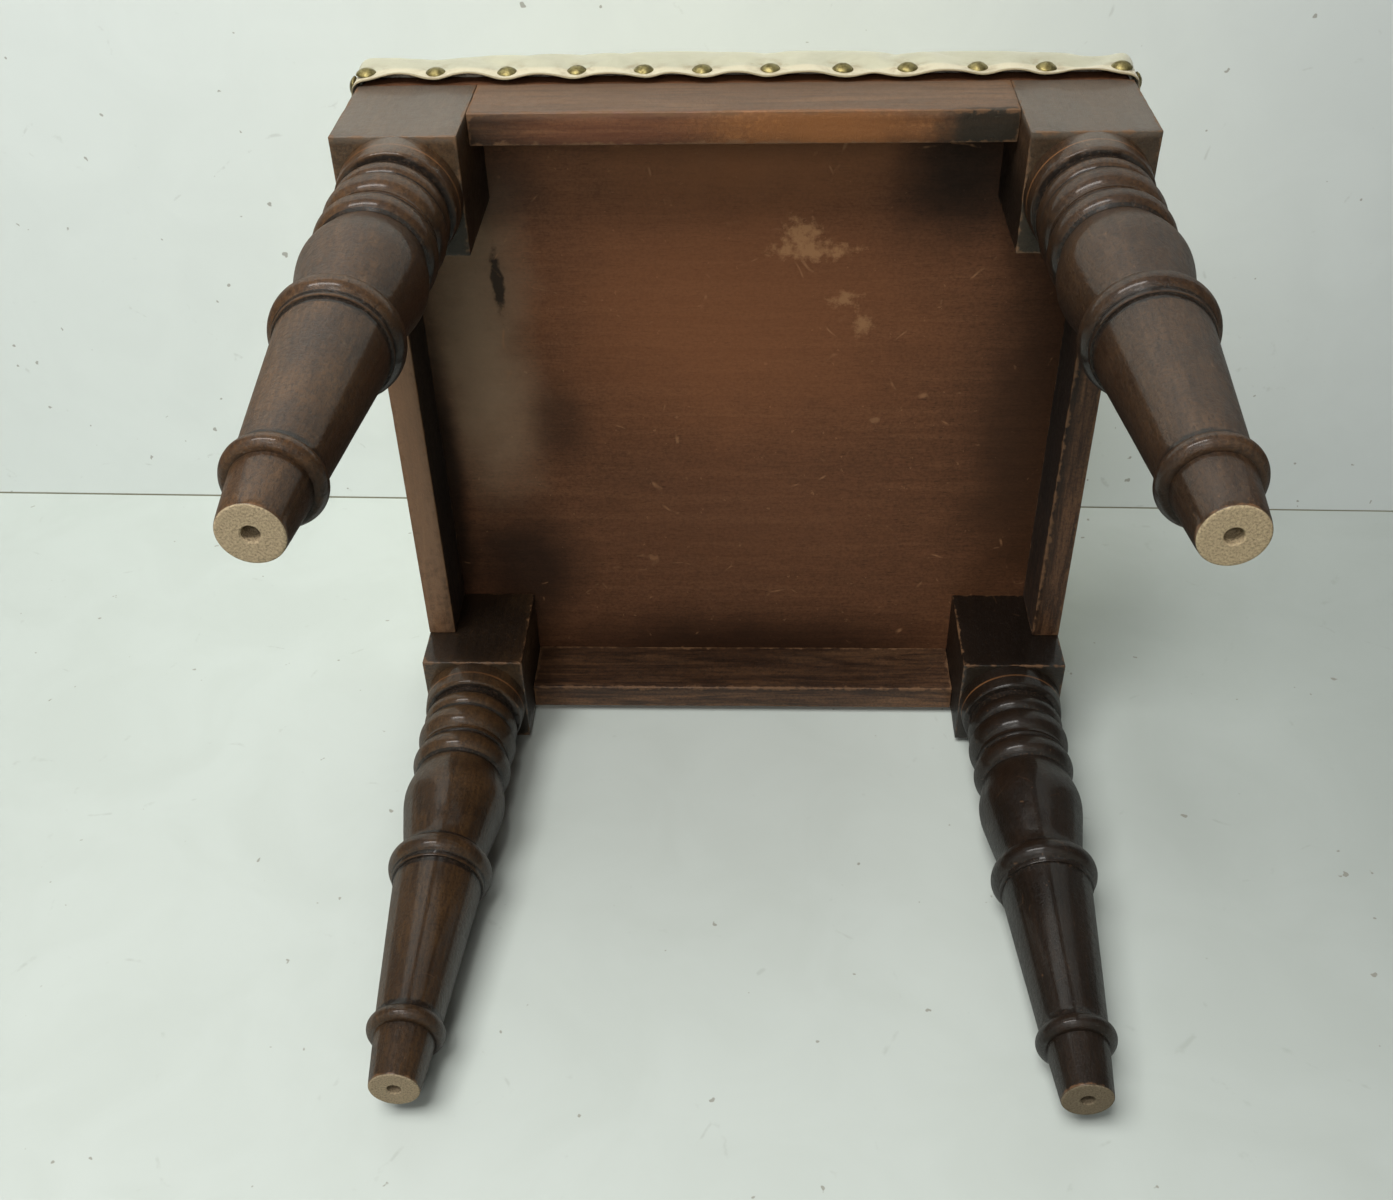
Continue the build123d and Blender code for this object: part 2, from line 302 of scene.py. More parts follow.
class Effects:
    """The effects that several materials share, each a node group built once."""

    def __init__(self) -> None:
        """Build every shared effect."""
        self.grain = self._grain()
        self.wear = self._wear()
        self.grime = self._grime()
        self.stain = self._stain()
        self.scratches = self._scratches()
        self.smudges = self._smudges()
        self.pebble = self._pebble()

    @staticmethod
    def _grain() -> bpy.types.NodeTree:
        """Wood fibres: streaks, open pores and a slow figure."""
        w, given, out = new_effect("wood grain", {"Vector": (0.0, 0.0, 0.0), "Fineness": 1.0},
                                   ("Streaks", "Pores", "Figure"))
        spread = w.add("ShaderNodeVectorMath", {0: given["Vector"]}, operation="SCALE")
        w.feed(spread.inputs["Scale"], given["Fineness"])
        fibres = spread.outputs[0]
        w.feed(out.inputs["Streaks"], w.cloud(fibres, 34.0, 6.0, 0.62, 0.3))
        w.feed(out.inputs["Pores"], w.window(w.cloud(fibres, 150.0, 2.0, 0.5), 0.58, 0.68))
        w.feed(out.inputs["Figure"], w.cloud(fibres, 7.0, 3.0, 0.5, 1.6))
        return w.tree

    @staticmethod
    def _wear() -> bpy.types.NodeTree:
        """Finish rubbed off where a painted edge mask and a broken pattern meet."""
        w, given, out = new_effect("rubbed edges", {"Vector": (0.0, 0.0, 0.0), "Edge": 0.0,
                                                    "Reach": 0.5, "Fineness": 1.0}, ("Mask",))
        pattern = w.cloud(given["Vector"], w.calc("MULTIPLY", given["Fineness"], 130.0), 5.0, 0.65)
        lift = w.calc("MULTIPLY", w.calc("SUBTRACT", pattern, 0.5), 2.6)
        reach = w.calc("ADD", w.calc("SUBTRACT", given["Reach"], 1.0), lift)
        w.feed(out.inputs["Mask"], w.window(w.calc("ADD", given["Edge"], reach), 0.0, 0.45))
        return w.tree

    @staticmethod
    def _grime() -> bpy.types.NodeTree:
        """Dark grime that gathers in hollows and breaks up away from them."""
        w, given, out = new_effect("grime", {"Vector": (0.0, 0.0, 0.0), "Hollow": 0.0,
                                             "Amount": 0.5}, ("Mask", "Crumbs"))
        pattern = w.cloud(given["Vector"], 90.0, 5.0, 0.7)
        amount = w.calc("MULTIPLY", given["Amount"], w.window(pattern, 0.3, 0.62, 0.45, 1.3))
        w.feed(out.inputs["Mask"], w.window(w.calc("MULTIPLY", given["Hollow"], amount), 0.08, 0.6))
        crumbs = w.window(w.cloud(given["Vector"], 620.0, 3.0, 0.6), 0.5, 0.68)
        w.feed(out.inputs["Crumbs"], w.calc("MULTIPLY", crumbs, given["Hollow"]))
        return w.tree

    @staticmethod
    def _stain() -> bpy.types.NodeTree:
        """One soft or ragged patch round a place."""
        w, given, out = new_effect("patch", {"Vector": (0.0, 0.0, 0.0), "Centre": (0.0, 0.0, 0.0),
                                             "Reach": (1.0, 1.0, 1.0), "Ragged": 0.4,
                                             "Fineness": 30.0, "Softness": 0.6}, ("Mask",))
        away = w.add("ShaderNodeVectorMath", {0: given["Vector"], 1: given["Centre"]},
                     operation="SUBTRACT").outputs[0]
        share = w.add("ShaderNodeVectorMath", {0: away, 1: given["Reach"]}, operation="DIVIDE")
        far = w.add("ShaderNodeVectorMath", {0: share.outputs[0]}, operation="LENGTH").outputs["Value"]
        pattern = w.cloud(given["Vector"], given["Fineness"], 5.0, 0.62)
        frayed = w.calc("ADD", far, w.calc("MULTIPLY", w.calc("SUBTRACT", pattern, 0.5), given["Ragged"]))
        node = w.add("ShaderNodeMapRange", {0: frayed, 2: 1.0, 3: 1.0, 4: 0.0},
                     interpolation_type="SMOOTHSTEP")
        w.feed(node.inputs[1], w.calc("SUBTRACT", 1.0, given["Softness"]))
        w.feed(out.inputs["Mask"], node.outputs[0])
        return w.tree

    @staticmethod
    def _scratches() -> bpy.types.NodeTree:
        """Fine scattered scratches."""
        w, given, out = new_effect("scratches", {"Vector": (0.0, 0.0, 0.0), "Fineness": 30.0,
                                                 "Amount": 0.5}, ("Mask",))
        bent = w.add("ShaderNodeTexNoise", {"Vector": given["Vector"], "Scale": 14.0, "Detail": 2.0})
        pushed = w.add("ShaderNodeVectorMath", {0: bent.outputs["Color"], 1: (0.05, 0.05, 0.05)},
                       operation="MULTIPLY").outputs[0]
        path = w.add("ShaderNodeVectorMath", {0: given["Vector"], 1: pushed},
                     operation="ADD").outputs[0]
        cells = w.add("ShaderNodeTexVoronoi", {"Vector": path, "Scale": given["Fineness"]},
                      feature="DISTANCE_TO_EDGE")
        line = w.window(cells.outputs["Distance"], 0.002, 0.011, 1.0, 0.0)
        gaps = w.window(w.cloud(given["Vector"], 60.0, 3.0, 0.6), 0.56, 0.7)
        w.feed(out.inputs["Mask"], w.calc("MULTIPLY", w.calc("MULTIPLY", line, gaps), given["Amount"]))
        return w.tree

    @staticmethod
    def _smudges() -> bpy.types.NodeTree:
        """Handling marks: a broad and a fine unevenness of the sheen."""
        w, given, out = new_effect("smudges", {"Vector": (0.0, 0.0, 0.0)}, ("Broad", "Fine"))
        w.feed(out.inputs["Broad"], w.window(w.cloud(given["Vector"], 11.0, 4.0, 0.55, 0.8), 0.3, 0.7))
        w.feed(out.inputs["Fine"], w.window(w.cloud(given["Vector"], 230.0, 3.0, 0.6), 0.35, 0.7))
        return w.tree

    @staticmethod
    def _pebble() -> bpy.types.NodeTree:
        """Pressed grain of coated cloth: small pebbles with creases between them."""
        w, given, out = new_effect("pebbled coat", {"Vector": (0.0, 0.0, 0.0)}, ("Height", "Crease"))
        cells = w.add("ShaderNodeTexVoronoi", {"Vector": given["Vector"], "Scale": 900.0},
                      feature="DISTANCE_TO_EDGE").outputs["Distance"]
        w.feed(out.inputs["Height"], w.window(cells, 0.0, 0.22))
        w.feed(out.inputs["Crease"], w.window(w.cloud(given["Vector"], 60.0, 4.0, 0.6, 0.6), 0.35, 0.7))
        return w.tree


def new_material(name: str) -> tuple[bpy.types.Material, Wiring, bpy.types.Node]:
    """Start a material.

    Args:
        name: Its name.

    Returns:
        The material, its wiring and its shader.
    """
    material = bpy.data.materials.new(name)
    material.use_nodes = True
    wiring = Wiring(material.node_tree)
    return material, wiring, material.node_tree.nodes["Principled BSDF"]


# ---------------------------------------------------------------------------
# finishes
# ---------------------------------------------------------------------------


@dataclass(frozen=True)
class Patch:
    """One stain, bare spot, dark mark, painted shade or painted sheen on a wooden surface."""

    centre: Place
    reach: Place
    colour: Tint
    strength: float = 0.6
    ragged: float = 0.5
    fineness: float = 30.0
    softness: float = 0.7


@dataclass(frozen=True)
class Wood:
    """Stained and varnished wood with rubbed arrises, grime and patches, among them painted shade and painted
    sheen.
    """

    name: str
    dark: Tint
    middle: Tint
    light: Tint
    way: GrainWay
    worn: Tint = tint(104, 76, 52)
    raw: Tint = tint(222, 202, 166)
    raw_dark: Tint = tint(138, 116, 84)
    soil: Tint = tint(20, 15, 11)
    roughness: float = 0.4
    coat: float = 0.25
    coat_roughness: float = 0.28
    wear_reach: float = 0.3
    grime_amount: float = 1.0
    scratch_amount: float = 0.25
    specular: float = 0.5
    scratch_fineness: float = 34.0
    bump: float = 0.25
    rim_dullness: float = 0.3
    figure: float = 0.7
    mottle: float = 0.0
    crackle: float = 0.2
    patches: tuple[Patch, ...] = ()

    def material(self, effects: Effects) -> bpy.types.Material:
        """Build the finish.

        Args:
            effects: The shared effects.

        Returns:
            The material.
        """
        made, w, shader = new_material(self.name)
        place = w.place()
        grain = w.effect(effects.grain, Vector=w.stretch(place, self.way.value))
        smudges = w.effect(effects.smudges, Vector=place)
        streaks, pores = grain.outputs["Streaks"], grain.outputs["Pores"]
        colour = w.blend(w.window(streaks, 0.32, 0.68), self.dark, self.middle)
        colour = w.blend(w.calc("MULTIPLY", w.window(grain.outputs["Figure"], 0.42, 0.72), self.figure),
                         colour, self.light)
        faded = w.calc("MULTIPLY", smudges.outputs["Broad"], w.window(streaks, 0.25, 0.7, 0.4, 1.0))
        colour = w.blend(w.calc("MULTIPLY", faded, self.mottle), colour, self.light)
        colour = w.blend(w.calc("MULTIPLY", pores, 0.55), colour, self.soil)
        crackle = w.window(w.cloud(place, 480.0, 4.0, 0.75), 0.42, 0.62)
        colour = w.blend(w.calc("MULTIPLY", crackle, self.crackle), colour, self.soil)
        nicks = w.window(w.cloud(place, 190.0, 3.0, 0.6), 0.69, 0.73)
        colour = w.blend(w.calc("MULTIPLY", nicks, 0.45), colour, self.worn)
        for patch in self.patches:
            mask = w.effect(effects.stain, Vector=place, Centre=patch.centre, Reach=patch.reach,
                            Ragged=patch.ragged, Fineness=patch.fineness, Softness=patch.softness)
            colour = w.blend(w.calc("MULTIPLY", mask.outputs[0], patch.strength), colour, patch.colour)
        scratch = w.effect(effects.scratches, Vector=place, Fineness=self.scratch_fineness,
                           Amount=self.scratch_amount)
        colour = w.blend(scratch.outputs[0], colour, self.worn)
        grime = w.effect(effects.grime, Vector=place, Hollow=w.painted("hollow"),
                         Amount=self.grime_amount)
        colour = w.blend(w.calc("MULTIPLY", grime.outputs["Mask"], 0.92), colour, self.soil)
        colour = w.blend(w.calc("MULTIPLY", grime.outputs["Crumbs"], 0.25), colour, self.worn)
        wear = w.effect(effects.wear, Vector=place, Edge=w.painted("edge"), Reach=self.wear_reach)
        colour = w.blend(w.calc("MULTIPLY", wear.outputs[0], 0.75), colour, self.worn)
        bare = w.painted("bare")
        speckle = w.window(w.cloud(place, 900.0, 4.0, 0.7), 0.3, 0.62)
        fibre_ends = w.blend(speckle, self.raw_dark, self.raw)
        colour = w.blend(bare, colour, fibre_ends)
        w.feed(shader.inputs["Base Color"], colour)

        dull = w.calc("MULTIPLY", smudges.outputs["Broad"], 0.14)
        dull = w.calc("ADD", dull, w.calc("MULTIPLY", smudges.outputs["Fine"], 0.08))
        dull = w.calc("ADD", dull, w.calc("MULTIPLY", grime.outputs["Mask"], 0.12))
        dull = w.calc("SUBTRACT", dull, w.calc("MULTIPLY", grime.outputs["Crumbs"], 0.2))
        dull = w.calc("ADD", dull, w.calc("MULTIPLY", wear.outputs[0], 0.2))
        dull = w.calc("ADD", dull, w.calc("MULTIPLY", bare, 0.45))
        rim = w.window(w.add("ShaderNodeLayerWeight", {"Blend": 0.5}).outputs["Facing"], 0.4, 0.85)
        dull = w.calc("ADD", dull, w.calc("MULTIPLY", rim, self.rim_dullness))
        w.feed(shader.inputs["Roughness"], w.calc("ADD", dull, self.roughness - 0.1))
        cover = w.calc("SUBTRACT", 1.0, bare)
        cover = w.calc("MULTIPLY", cover, w.calc("SUBTRACT", 1.0, w.calc("MULTIPLY", rim, 0.85)))
        w.feed(shader.inputs["Coat Weight"], w.calc("MULTIPLY", cover, self.coat))
        shader.inputs["Coat Roughness"].default_value = self.coat_roughness
        shader.inputs["Specular IOR Level"].default_value = self.specular

        height = w.calc("SUBTRACT", w.calc("MULTIPLY", streaks, 0.5), w.calc("MULTIPLY", pores, 0.5))
        height = w.calc("ADD", height, w.calc("MULTIPLY", grime.outputs["Crumbs"], 2.2))
        height = w.calc("ADD", height, w.calc("MULTIPLY", smudges.outputs["Fine"], 0.4))
        height = w.calc("SUBTRACT", height, w.calc("MULTIPLY", crackle, 0.35))
        height = w.calc("SUBTRACT", height, w.calc("MULTIPLY", scratch.outputs[0], 0.5))
        height = w.calc("ADD", height, w.calc("MULTIPLY", w.calc("MULTIPLY", bare, speckle), 0.9))
        bump = w.add("ShaderNodeBump", {"Height": height, "Strength": self.bump, "Distance": 0.0009})
        w.feed(shader.inputs["Normal"], bump.outputs[0])
        return made


@dataclass(frozen=True)
class CoatedCloth:
    """Ivory leathercloth: pressed grain, soiling round the nails and a creamier hem."""

    name: str = "ivory leathercloth"
    ivory: Tint = tint(176, 174, 150)
    grey: Tint = tint(153, 152, 131)
    cream: Tint = tint(190, 182, 155)
    soil: Tint = tint(120, 98, 62)
    backing: Tint = tint(128, 116, 88)

    def material(self, effects: Effects) -> bpy.types.Material:
        """Build the finish.

        Args:
            effects: The shared effects.

        Returns:
            The material.
        """
        made, w, shader = new_material(self.name)
        place = w.place()
        pebble = w.effect(effects.pebble, Vector=place)
        smudges = w.effect(effects.smudges, Vector=place)
        hem, near_nail = w.painted("hem"), w.painted("nail")
        colour = w.blend(w.calc("MULTIPLY", smudges.outputs["Broad"], 0.55), self.ivory, self.grey)
        colour = w.blend(w.calc("MULTIPLY", pebble.outputs["Crease"], 0.25), colour, self.grey)
        colour = w.blend(w.window(hem, 0.35, 0.8), colour, self.cream)
        dirt = w.calc("MULTIPLY", near_nail, w.window(w.cloud(place, 120.0, 5.0, 0.7), 0.42, 0.7))
        colour = w.blend(w.calc("MULTIPLY", dirt, 0.75), colour, self.soil)
        spots = w.window(w.cloud(place, 260.0, 2.0, 0.5), 0.7, 0.78)
        colour = w.blend(w.calc("MULTIPLY", spots, 0.35), colour, self.soil)
        colour = w.blend(w.window(hem, 0.93, 1.0), colour, self.backing)
        w.feed(shader.inputs["Base Color"], colour)
        rough = w.calc("ADD", w.calc("MULTIPLY", smudges.outputs["Fine"], 0.12), 0.45)
        w.feed(shader.inputs["Roughness"], rough)
        shader.inputs["Sheen Weight"].default_value = 0.15
        shader.inputs["Specular IOR Level"].default_value = 0.4
        height = w.calc("ADD", pebble.outputs["Height"],
                        w.calc("MULTIPLY", pebble.outputs["Crease"], 0.8))
        bump = w.add("ShaderNodeBump", {"Height": height, "Strength": 0.3, "Distance": 0.0003})
        w.feed(shader.inputs["Normal"], bump.outputs[0])
        return made


@dataclass(frozen=True)
class AgedMetal:
    """Metal with a dull patina and brighter rubbed spots."""

    name: str
    bright: Tint
    dull: Tint
    spots: Tint
    roughness: float = 0.3
    fineness: float = 240.0

    def material(self, effects: Effects) -> bpy.types.Material:
        """Build the finish.

        Args:
            effects: The shared effects.

        Returns:
            The material.
        """
        made, w, shader = new_material(self.name)
        place = w.place()
        smudges = w.effect(effects.smudges, Vector=w.stretch(place, (4.0, 4.0, 4.0)))
        patina = w.window(w.cloud(place, self.fineness, 5.0, 0.65), 0.35, 0.65)
        colour = w.blend(patina, self.bright, self.dull)
        specks = w.window(w.cloud(place, self.fineness * 5, 3.0, 0.6), 0.6, 0.7)
        colour = w.blend(w.calc("MULTIPLY", specks, 0.7), colour, self.spots)
        w.feed(shader.inputs["Base Color"], colour)
        w.feed(shader.inputs["Metallic"], w.calc("SUBTRACT", 0.95, w.calc("MULTIPLY", specks, 0.6)))
        rough = w.calc("ADD", w.calc("MULTIPLY", patina, 0.2),
                       w.calc("MULTIPLY", smudges.outputs["Broad"], 0.1))
        w.feed(shader.inputs["Roughness"], w.calc("ADD", rough, self.roughness))
        bump = w.add("ShaderNodeBump", {"Height": patina, "Strength": 0.3, "Distance": 0.0003})
        w.feed(shader.inputs["Normal"], bump.outputs[0])
        return made


@dataclass(frozen=True)
class Stuffing:
    """Open foam or fibre wadding that fills the seat."""

    name: str
    body: Tint
    shade: Tint
    cells: float

    def material(self, effects: Effects) -> bpy.types.Material:
        """Build the finish.

        Args:
            effects: The shared effects.

        Returns:
            The material.
        """
        made, w, shader = new_material(self.name)
        place = w.place()
        smudges = w.effect(effects.smudges, Vector=place)
        pores = w.add("ShaderNodeTexVoronoi", {"Vector": place, "Scale": self.cells})
        open_cell = w.window(pores.outputs["Distance"], 0.1, 0.6)
        colour = w.blend(open_cell, self.shade, self.body)
        colour = w.blend(w.calc("MULTIPLY", smudges.outputs["Broad"], 0.3), colour, self.shade)
        w.feed(shader.inputs["Base Color"], colour)
        w.feed(shader.inputs["Roughness"], w.window(open_cell, 0.0, 1.0, 0.85, 1.0))
        bump = w.add("ShaderNodeBump", {"Height": open_cell, "Strength": 0.6, "Distance": 0.0008})
        w.feed(shader.inputs["Normal"], bump.outputs[0])
        return made


@dataclass(frozen=True)
class PaleBoard:
    """Matt pale paint of the floor and the backdrop, seen from its front only, darkened towards +X by painted
    shade.
    """

    name: str
    clean: Tint
    dusty: Tint
    painted_falloff: Tint

    def material(self, effects: Effects) -> bpy.types.Material:
        """Build the finish.

        Args:
            effects: The shared effects.

        Returns:
            The material.
        """
        made, w, shader = new_material(self.name)
        place = w.place()
        smudges = w.effect(effects.smudges, Vector=place)
        colour = w.blend(w.calc("MULTIPLY", smudges.outputs["Broad"], 0.5), self.clean, self.dusty)
        across = w.add("ShaderNodeSeparateXYZ", {0: place}).outputs["X"]
        # Painted shade: the paint is multiplied darker across X, standing in for the lamps' falloff to the right.
        colour = w.blend(w.window(across, 0.0, 0.75), colour, self.painted_falloff, "MULTIPLY")
        specks = w.window(w.cloud(place, 95.0, 2.0, 0.5), 0.745, 0.765)
        colour = w.blend(w.calc("MULTIPLY", specks, 0.6), colour, tint(110, 102, 86))
        marks = w.effect(effects.scratches, Vector=place, Fineness=7.0, Amount=0.22)
        colour = w.blend(marks.outputs[0], colour, tint(128, 130, 122))
        w.feed(shader.inputs["Base Color"], colour)
        shader.inputs["Roughness"].default_value = 0.55
        back = w.add("ShaderNodeNewGeometry").outputs["Backfacing"]
        clear = w.add("ShaderNodeBsdfTransparent")
        mixed = w.add("ShaderNodeMixShader", {0: back, 1: shader.outputs[0], 2: clear.outputs[0]})
        w.feed(made.node_tree.nodes["Material Output"].inputs["Surface"], mixed.outputs[0])
        return made


# ---------------------------------------------------------------------------
# mesh work
# ---------------------------------------------------------------------------


def ragged(point: Vector, fineness: float) -> float:
    """Steady random value near a point.

    Args:
        point: Place in metres.
        fineness: How quickly the value changes.

    Returns:
        A value from about -1 to 1.
    """
    return noise.noise(point * fineness)


def masks(bm: bmesh.types.BMesh) -> dict[str, bmesh.types.BMLayerItem]:
    """Give a mesh the painted masks that the wood reads.

    Args:
        bm: Mesh to add them to.

    Returns:
        The layers by name.
    """
    layers = bm.verts.layers.float
    return {name: layers.get(name) or layers.new(name) for name in ("edge", "hollow", "bare")}


def finish_piece(bm: bmesh.types.BMesh, name: str, material: bpy.types.Material,
                 sharp: float = 40.0) -> bpy.types.Object:
    """Turn a mesh in progress into a piece of the bench.

    Args:
        bm: Mesh with its place in its points.
        name: Name of the piece.
        material: Its finish.
        sharp: Angle in degrees past which an edge stays crisp.

    Returns:
        The piece, linked to the scene.
    """
    mesh = bpy.data.meshes.new(name)
    bm.to_mesh(mesh)
    bm.free()
    for face in mesh.polygons:
        face.use_smooth = True
    mesh.set_sharp_from_angle(angle=math.radians(sharp))
    mesh.materials.append(material)
    piece = bpy.data.objects.new(name, mesh)
    bpy.context.scene.collection.objects.link(piece)
    return piece


def fit(piece: bpy.types.Object, slot: str, *nodes: str) -> bpy.types.Object:
    """Fix a piece to the frame in place of its plain solids.

    Args:
        piece: The finished piece.
        slot: The record's material slot; not used.
        nodes: Solids that it stands for.

    Returns:
        The same piece.
    """
    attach(piece, BODY)
    if nodes:
        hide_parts(*nodes)
    LOG.info("%s: %d faces, stands for %s", piece.name, len(piece.data.polygons), nodes)
    return piece


def arc(first: tuple[float, float], crest: tuple[float, float], last: tuple[float, float],
        steps: int) -> list[tuple[float, float]]:
    """Points of a circular arc through three places, its first end left out.

    Args:
        first: Radius and height where it starts.
        crest: Radius and height that it passes through.
        last: Radius and height where it ends.
        steps: Number of points.

    Returns:
        Points as radius and height.
    """
    (ax, ay), (bx, by), (cx, cy) = first, crest, last
    twice = 2 * (ax * (by - cy) + bx * (cy - ay) + cx * (ay - by))
    a2, b2, c2 = ax * ax + ay * ay, bx * bx + by * by, cx * cx + cy * cy
    ux = (a2 * (by - cy) + b2 * (cy - ay) + c2 * (ay - by)) / twice
    uy = (a2 * (cx - bx) + b2 * (ax - cx) + c2 * (bx - ax)) / twice
    radius = math.hypot(ax - ux, ay - uy)
    start, middle, end = (math.atan2(y - uy, x - ux) for x, y in (first, crest, last))
    turn = 2 * math.pi
    span = (end - start) % turn
    if (middle - start) % turn > span:
        span -= turn
    angles = [start + span * step / steps for step in range(1, steps + 1)]
    return [(ux + radius * math.cos(a), uy + radius * math.sin(a)) for a in angles]


def curve_through(points: Sequence[tuple[float, float]], steps: int) -> list[tuple[float, float]]:
    """Smooth line through a few places, its first one left out.

    Args:
        points: Radius and height of each place.
        steps: Number of points between two places.

    Returns:
        Points as radius and height.
    """
    places = [Vector(p) for p in points]
    ends = [2 * places[0] - places[1], *places, 2 * places[-1] - places[-2]]
    line = []
    for a, b, c, d in zip(ends, ends[1:], ends[2:], ends[3:]):
        for step in range(1, steps + 1):
            t = step / steps
            at = 0.5 * (2 * b + (c - a) * t + (2 * a - 5 * b + 4 * c - d) * t * t
                        + (3 * b - a - 3 * c + d) * t * t * t)
            line.append((at.x, at.y))
    return line


def worn_block(bm: bmesh.types.BMesh, low: Vector, high: Vector, cell: float = 5 * MM,
               rounding: float = 0.7 * MM, wear_width: float = 4 * MM,
               dents: float = 0.35 * MM) -> list[bmesh.types.BMVert]:
    """Add a sawn block with eased, dented arrises and its edge mask.

    Args:
        bm: Mesh to add it to.
        low: Lowest corner.
        high: Highest corner.
        cell: Spacing of its points.
        rounding: Size of the eased arris.
        wear_width: How far the edge mask reaches in from an arris.
        dents: Depth of the unevenness along an arris.

    Returns:
        Its points.
    """
    size, middle = high - low, (low + high) / 2
    layers = masks(bm)
    known = set(bm.verts)
    place = Matrix.Translation(middle) @ Matrix.Diagonal((*size, 1.0))
    bmesh.ops.create_cube(bm, size=1.0, matrix=place)
    fresh = [v for v in bm.verts if v not in known]
    arrises = {edge for v in fresh for edge in v.link_edges}
    bmesh.ops.bevel(bm, geom=list(arrises), offset=rounding, offset_type="OFFSET", affect="EDGES",
                    segments=3, profile=0.5, material=-1)
    for axis in range(3):
        count = max(1, round(size[axis] / cell))
        normal = Vector([float(i == axis) for i in range(3)])
        for index in range(1, count):
            at = low + size * (index / count)
            parts = [g for kind in (bm.verts, bm.edges, bm.faces) for g in kind
                     if not isinstance(g, bmesh.types.BMVert) or g not in known]
            own = [g for g in parts if not belongs(g, known)]
            bmesh.ops.bisect_plane(bm, geom=own, plane_co=at, plane_no=normal)
    fresh = [v for v in bm.verts if v not in known]
    for v in fresh:
        gaps = sorted(min(v.co[i] - low[i], high[i] - v.co[i]) for i in range(3))
        v[layers["edge"]] = 1 - ease(gaps[1], 0.3 * rounding, wear_width)
        if gaps[1] < 1.6 * rounding:
            depth = dents * (0.25 + max(0.0, ragged(v.co, 160.0)) + 2 * max(0.0, ragged(v.co, 47.0) - 0.35))
            v.co += (middle - v.co).normalized() * depth
        v.co += v.normal * ragged(v.co, 22.0) * 0.08 * MM
    return fresh


def belongs(part: object, known: set[bmesh.types.BMVert]) -> bool:
    """Tell whether a mesh element is made of older points.

    Args:
        part: Point, edge or face.
        known: The older points.

    Returns:
        True if it is.
    """
    points = [part] if isinstance(part, bmesh.types.BMVert) else part.verts
    return any(v in known for v in points)


def spin_round(bm: bmesh.types.BMesh, outline: Sequence[tuple[float, float]], centre: Vector,
               steps: int, paint: Callable[[int], dict[str, float]] | None = None) -> list[bmesh.types.BMVert]:
    """Turn an outline round an upright axis.

    Args:
        bm: Mesh to add it to.
        outline: Points as radius and height.
        centre: A place on the axis, with height 0 of the outline.
        steps: Number of points round the axis.
        paint: Gives an outline point's masks by its number.

    Returns:
        The new points.
    """
    layers = masks(bm)
    known = set(bm.verts)
    line = []
    for index, (radius, height) in enumerate(outline):
        vert = bm.verts.new(centre + Vector((radius, 0.0, height)))
        for name, value in (paint(index) if paint else {}).items():
            vert[layers[name]] = value
        line.append(vert)
    edges = [bm.edges.new(pair) for pair in zip(line, line[1:])]
    bmesh.ops.spin(bm, geom=[*line, *edges], cent=centre, axis=(0.0, 0.0, 1.0), dvec=(0.0, 0.0, 0.0),
                   angle=2 * math.pi, steps=steps, use_merge=True, use_duplicate=False)
    fresh = [v for v in bm.verts if v not in known]
    bmesh.ops.remove_doubles(bm, verts=fresh, dist=1e-6)
    fresh = [v for v in bm.verts if v not in known]
    faces = list({f for v in fresh for f in v.link_faces})
    bmesh.ops.recalc_face_normals(bm, faces=faces)
    return fresh


# ---------------------------------------------------------------------------
# sub-assemblies
# ---------------------------------------------------------------------------


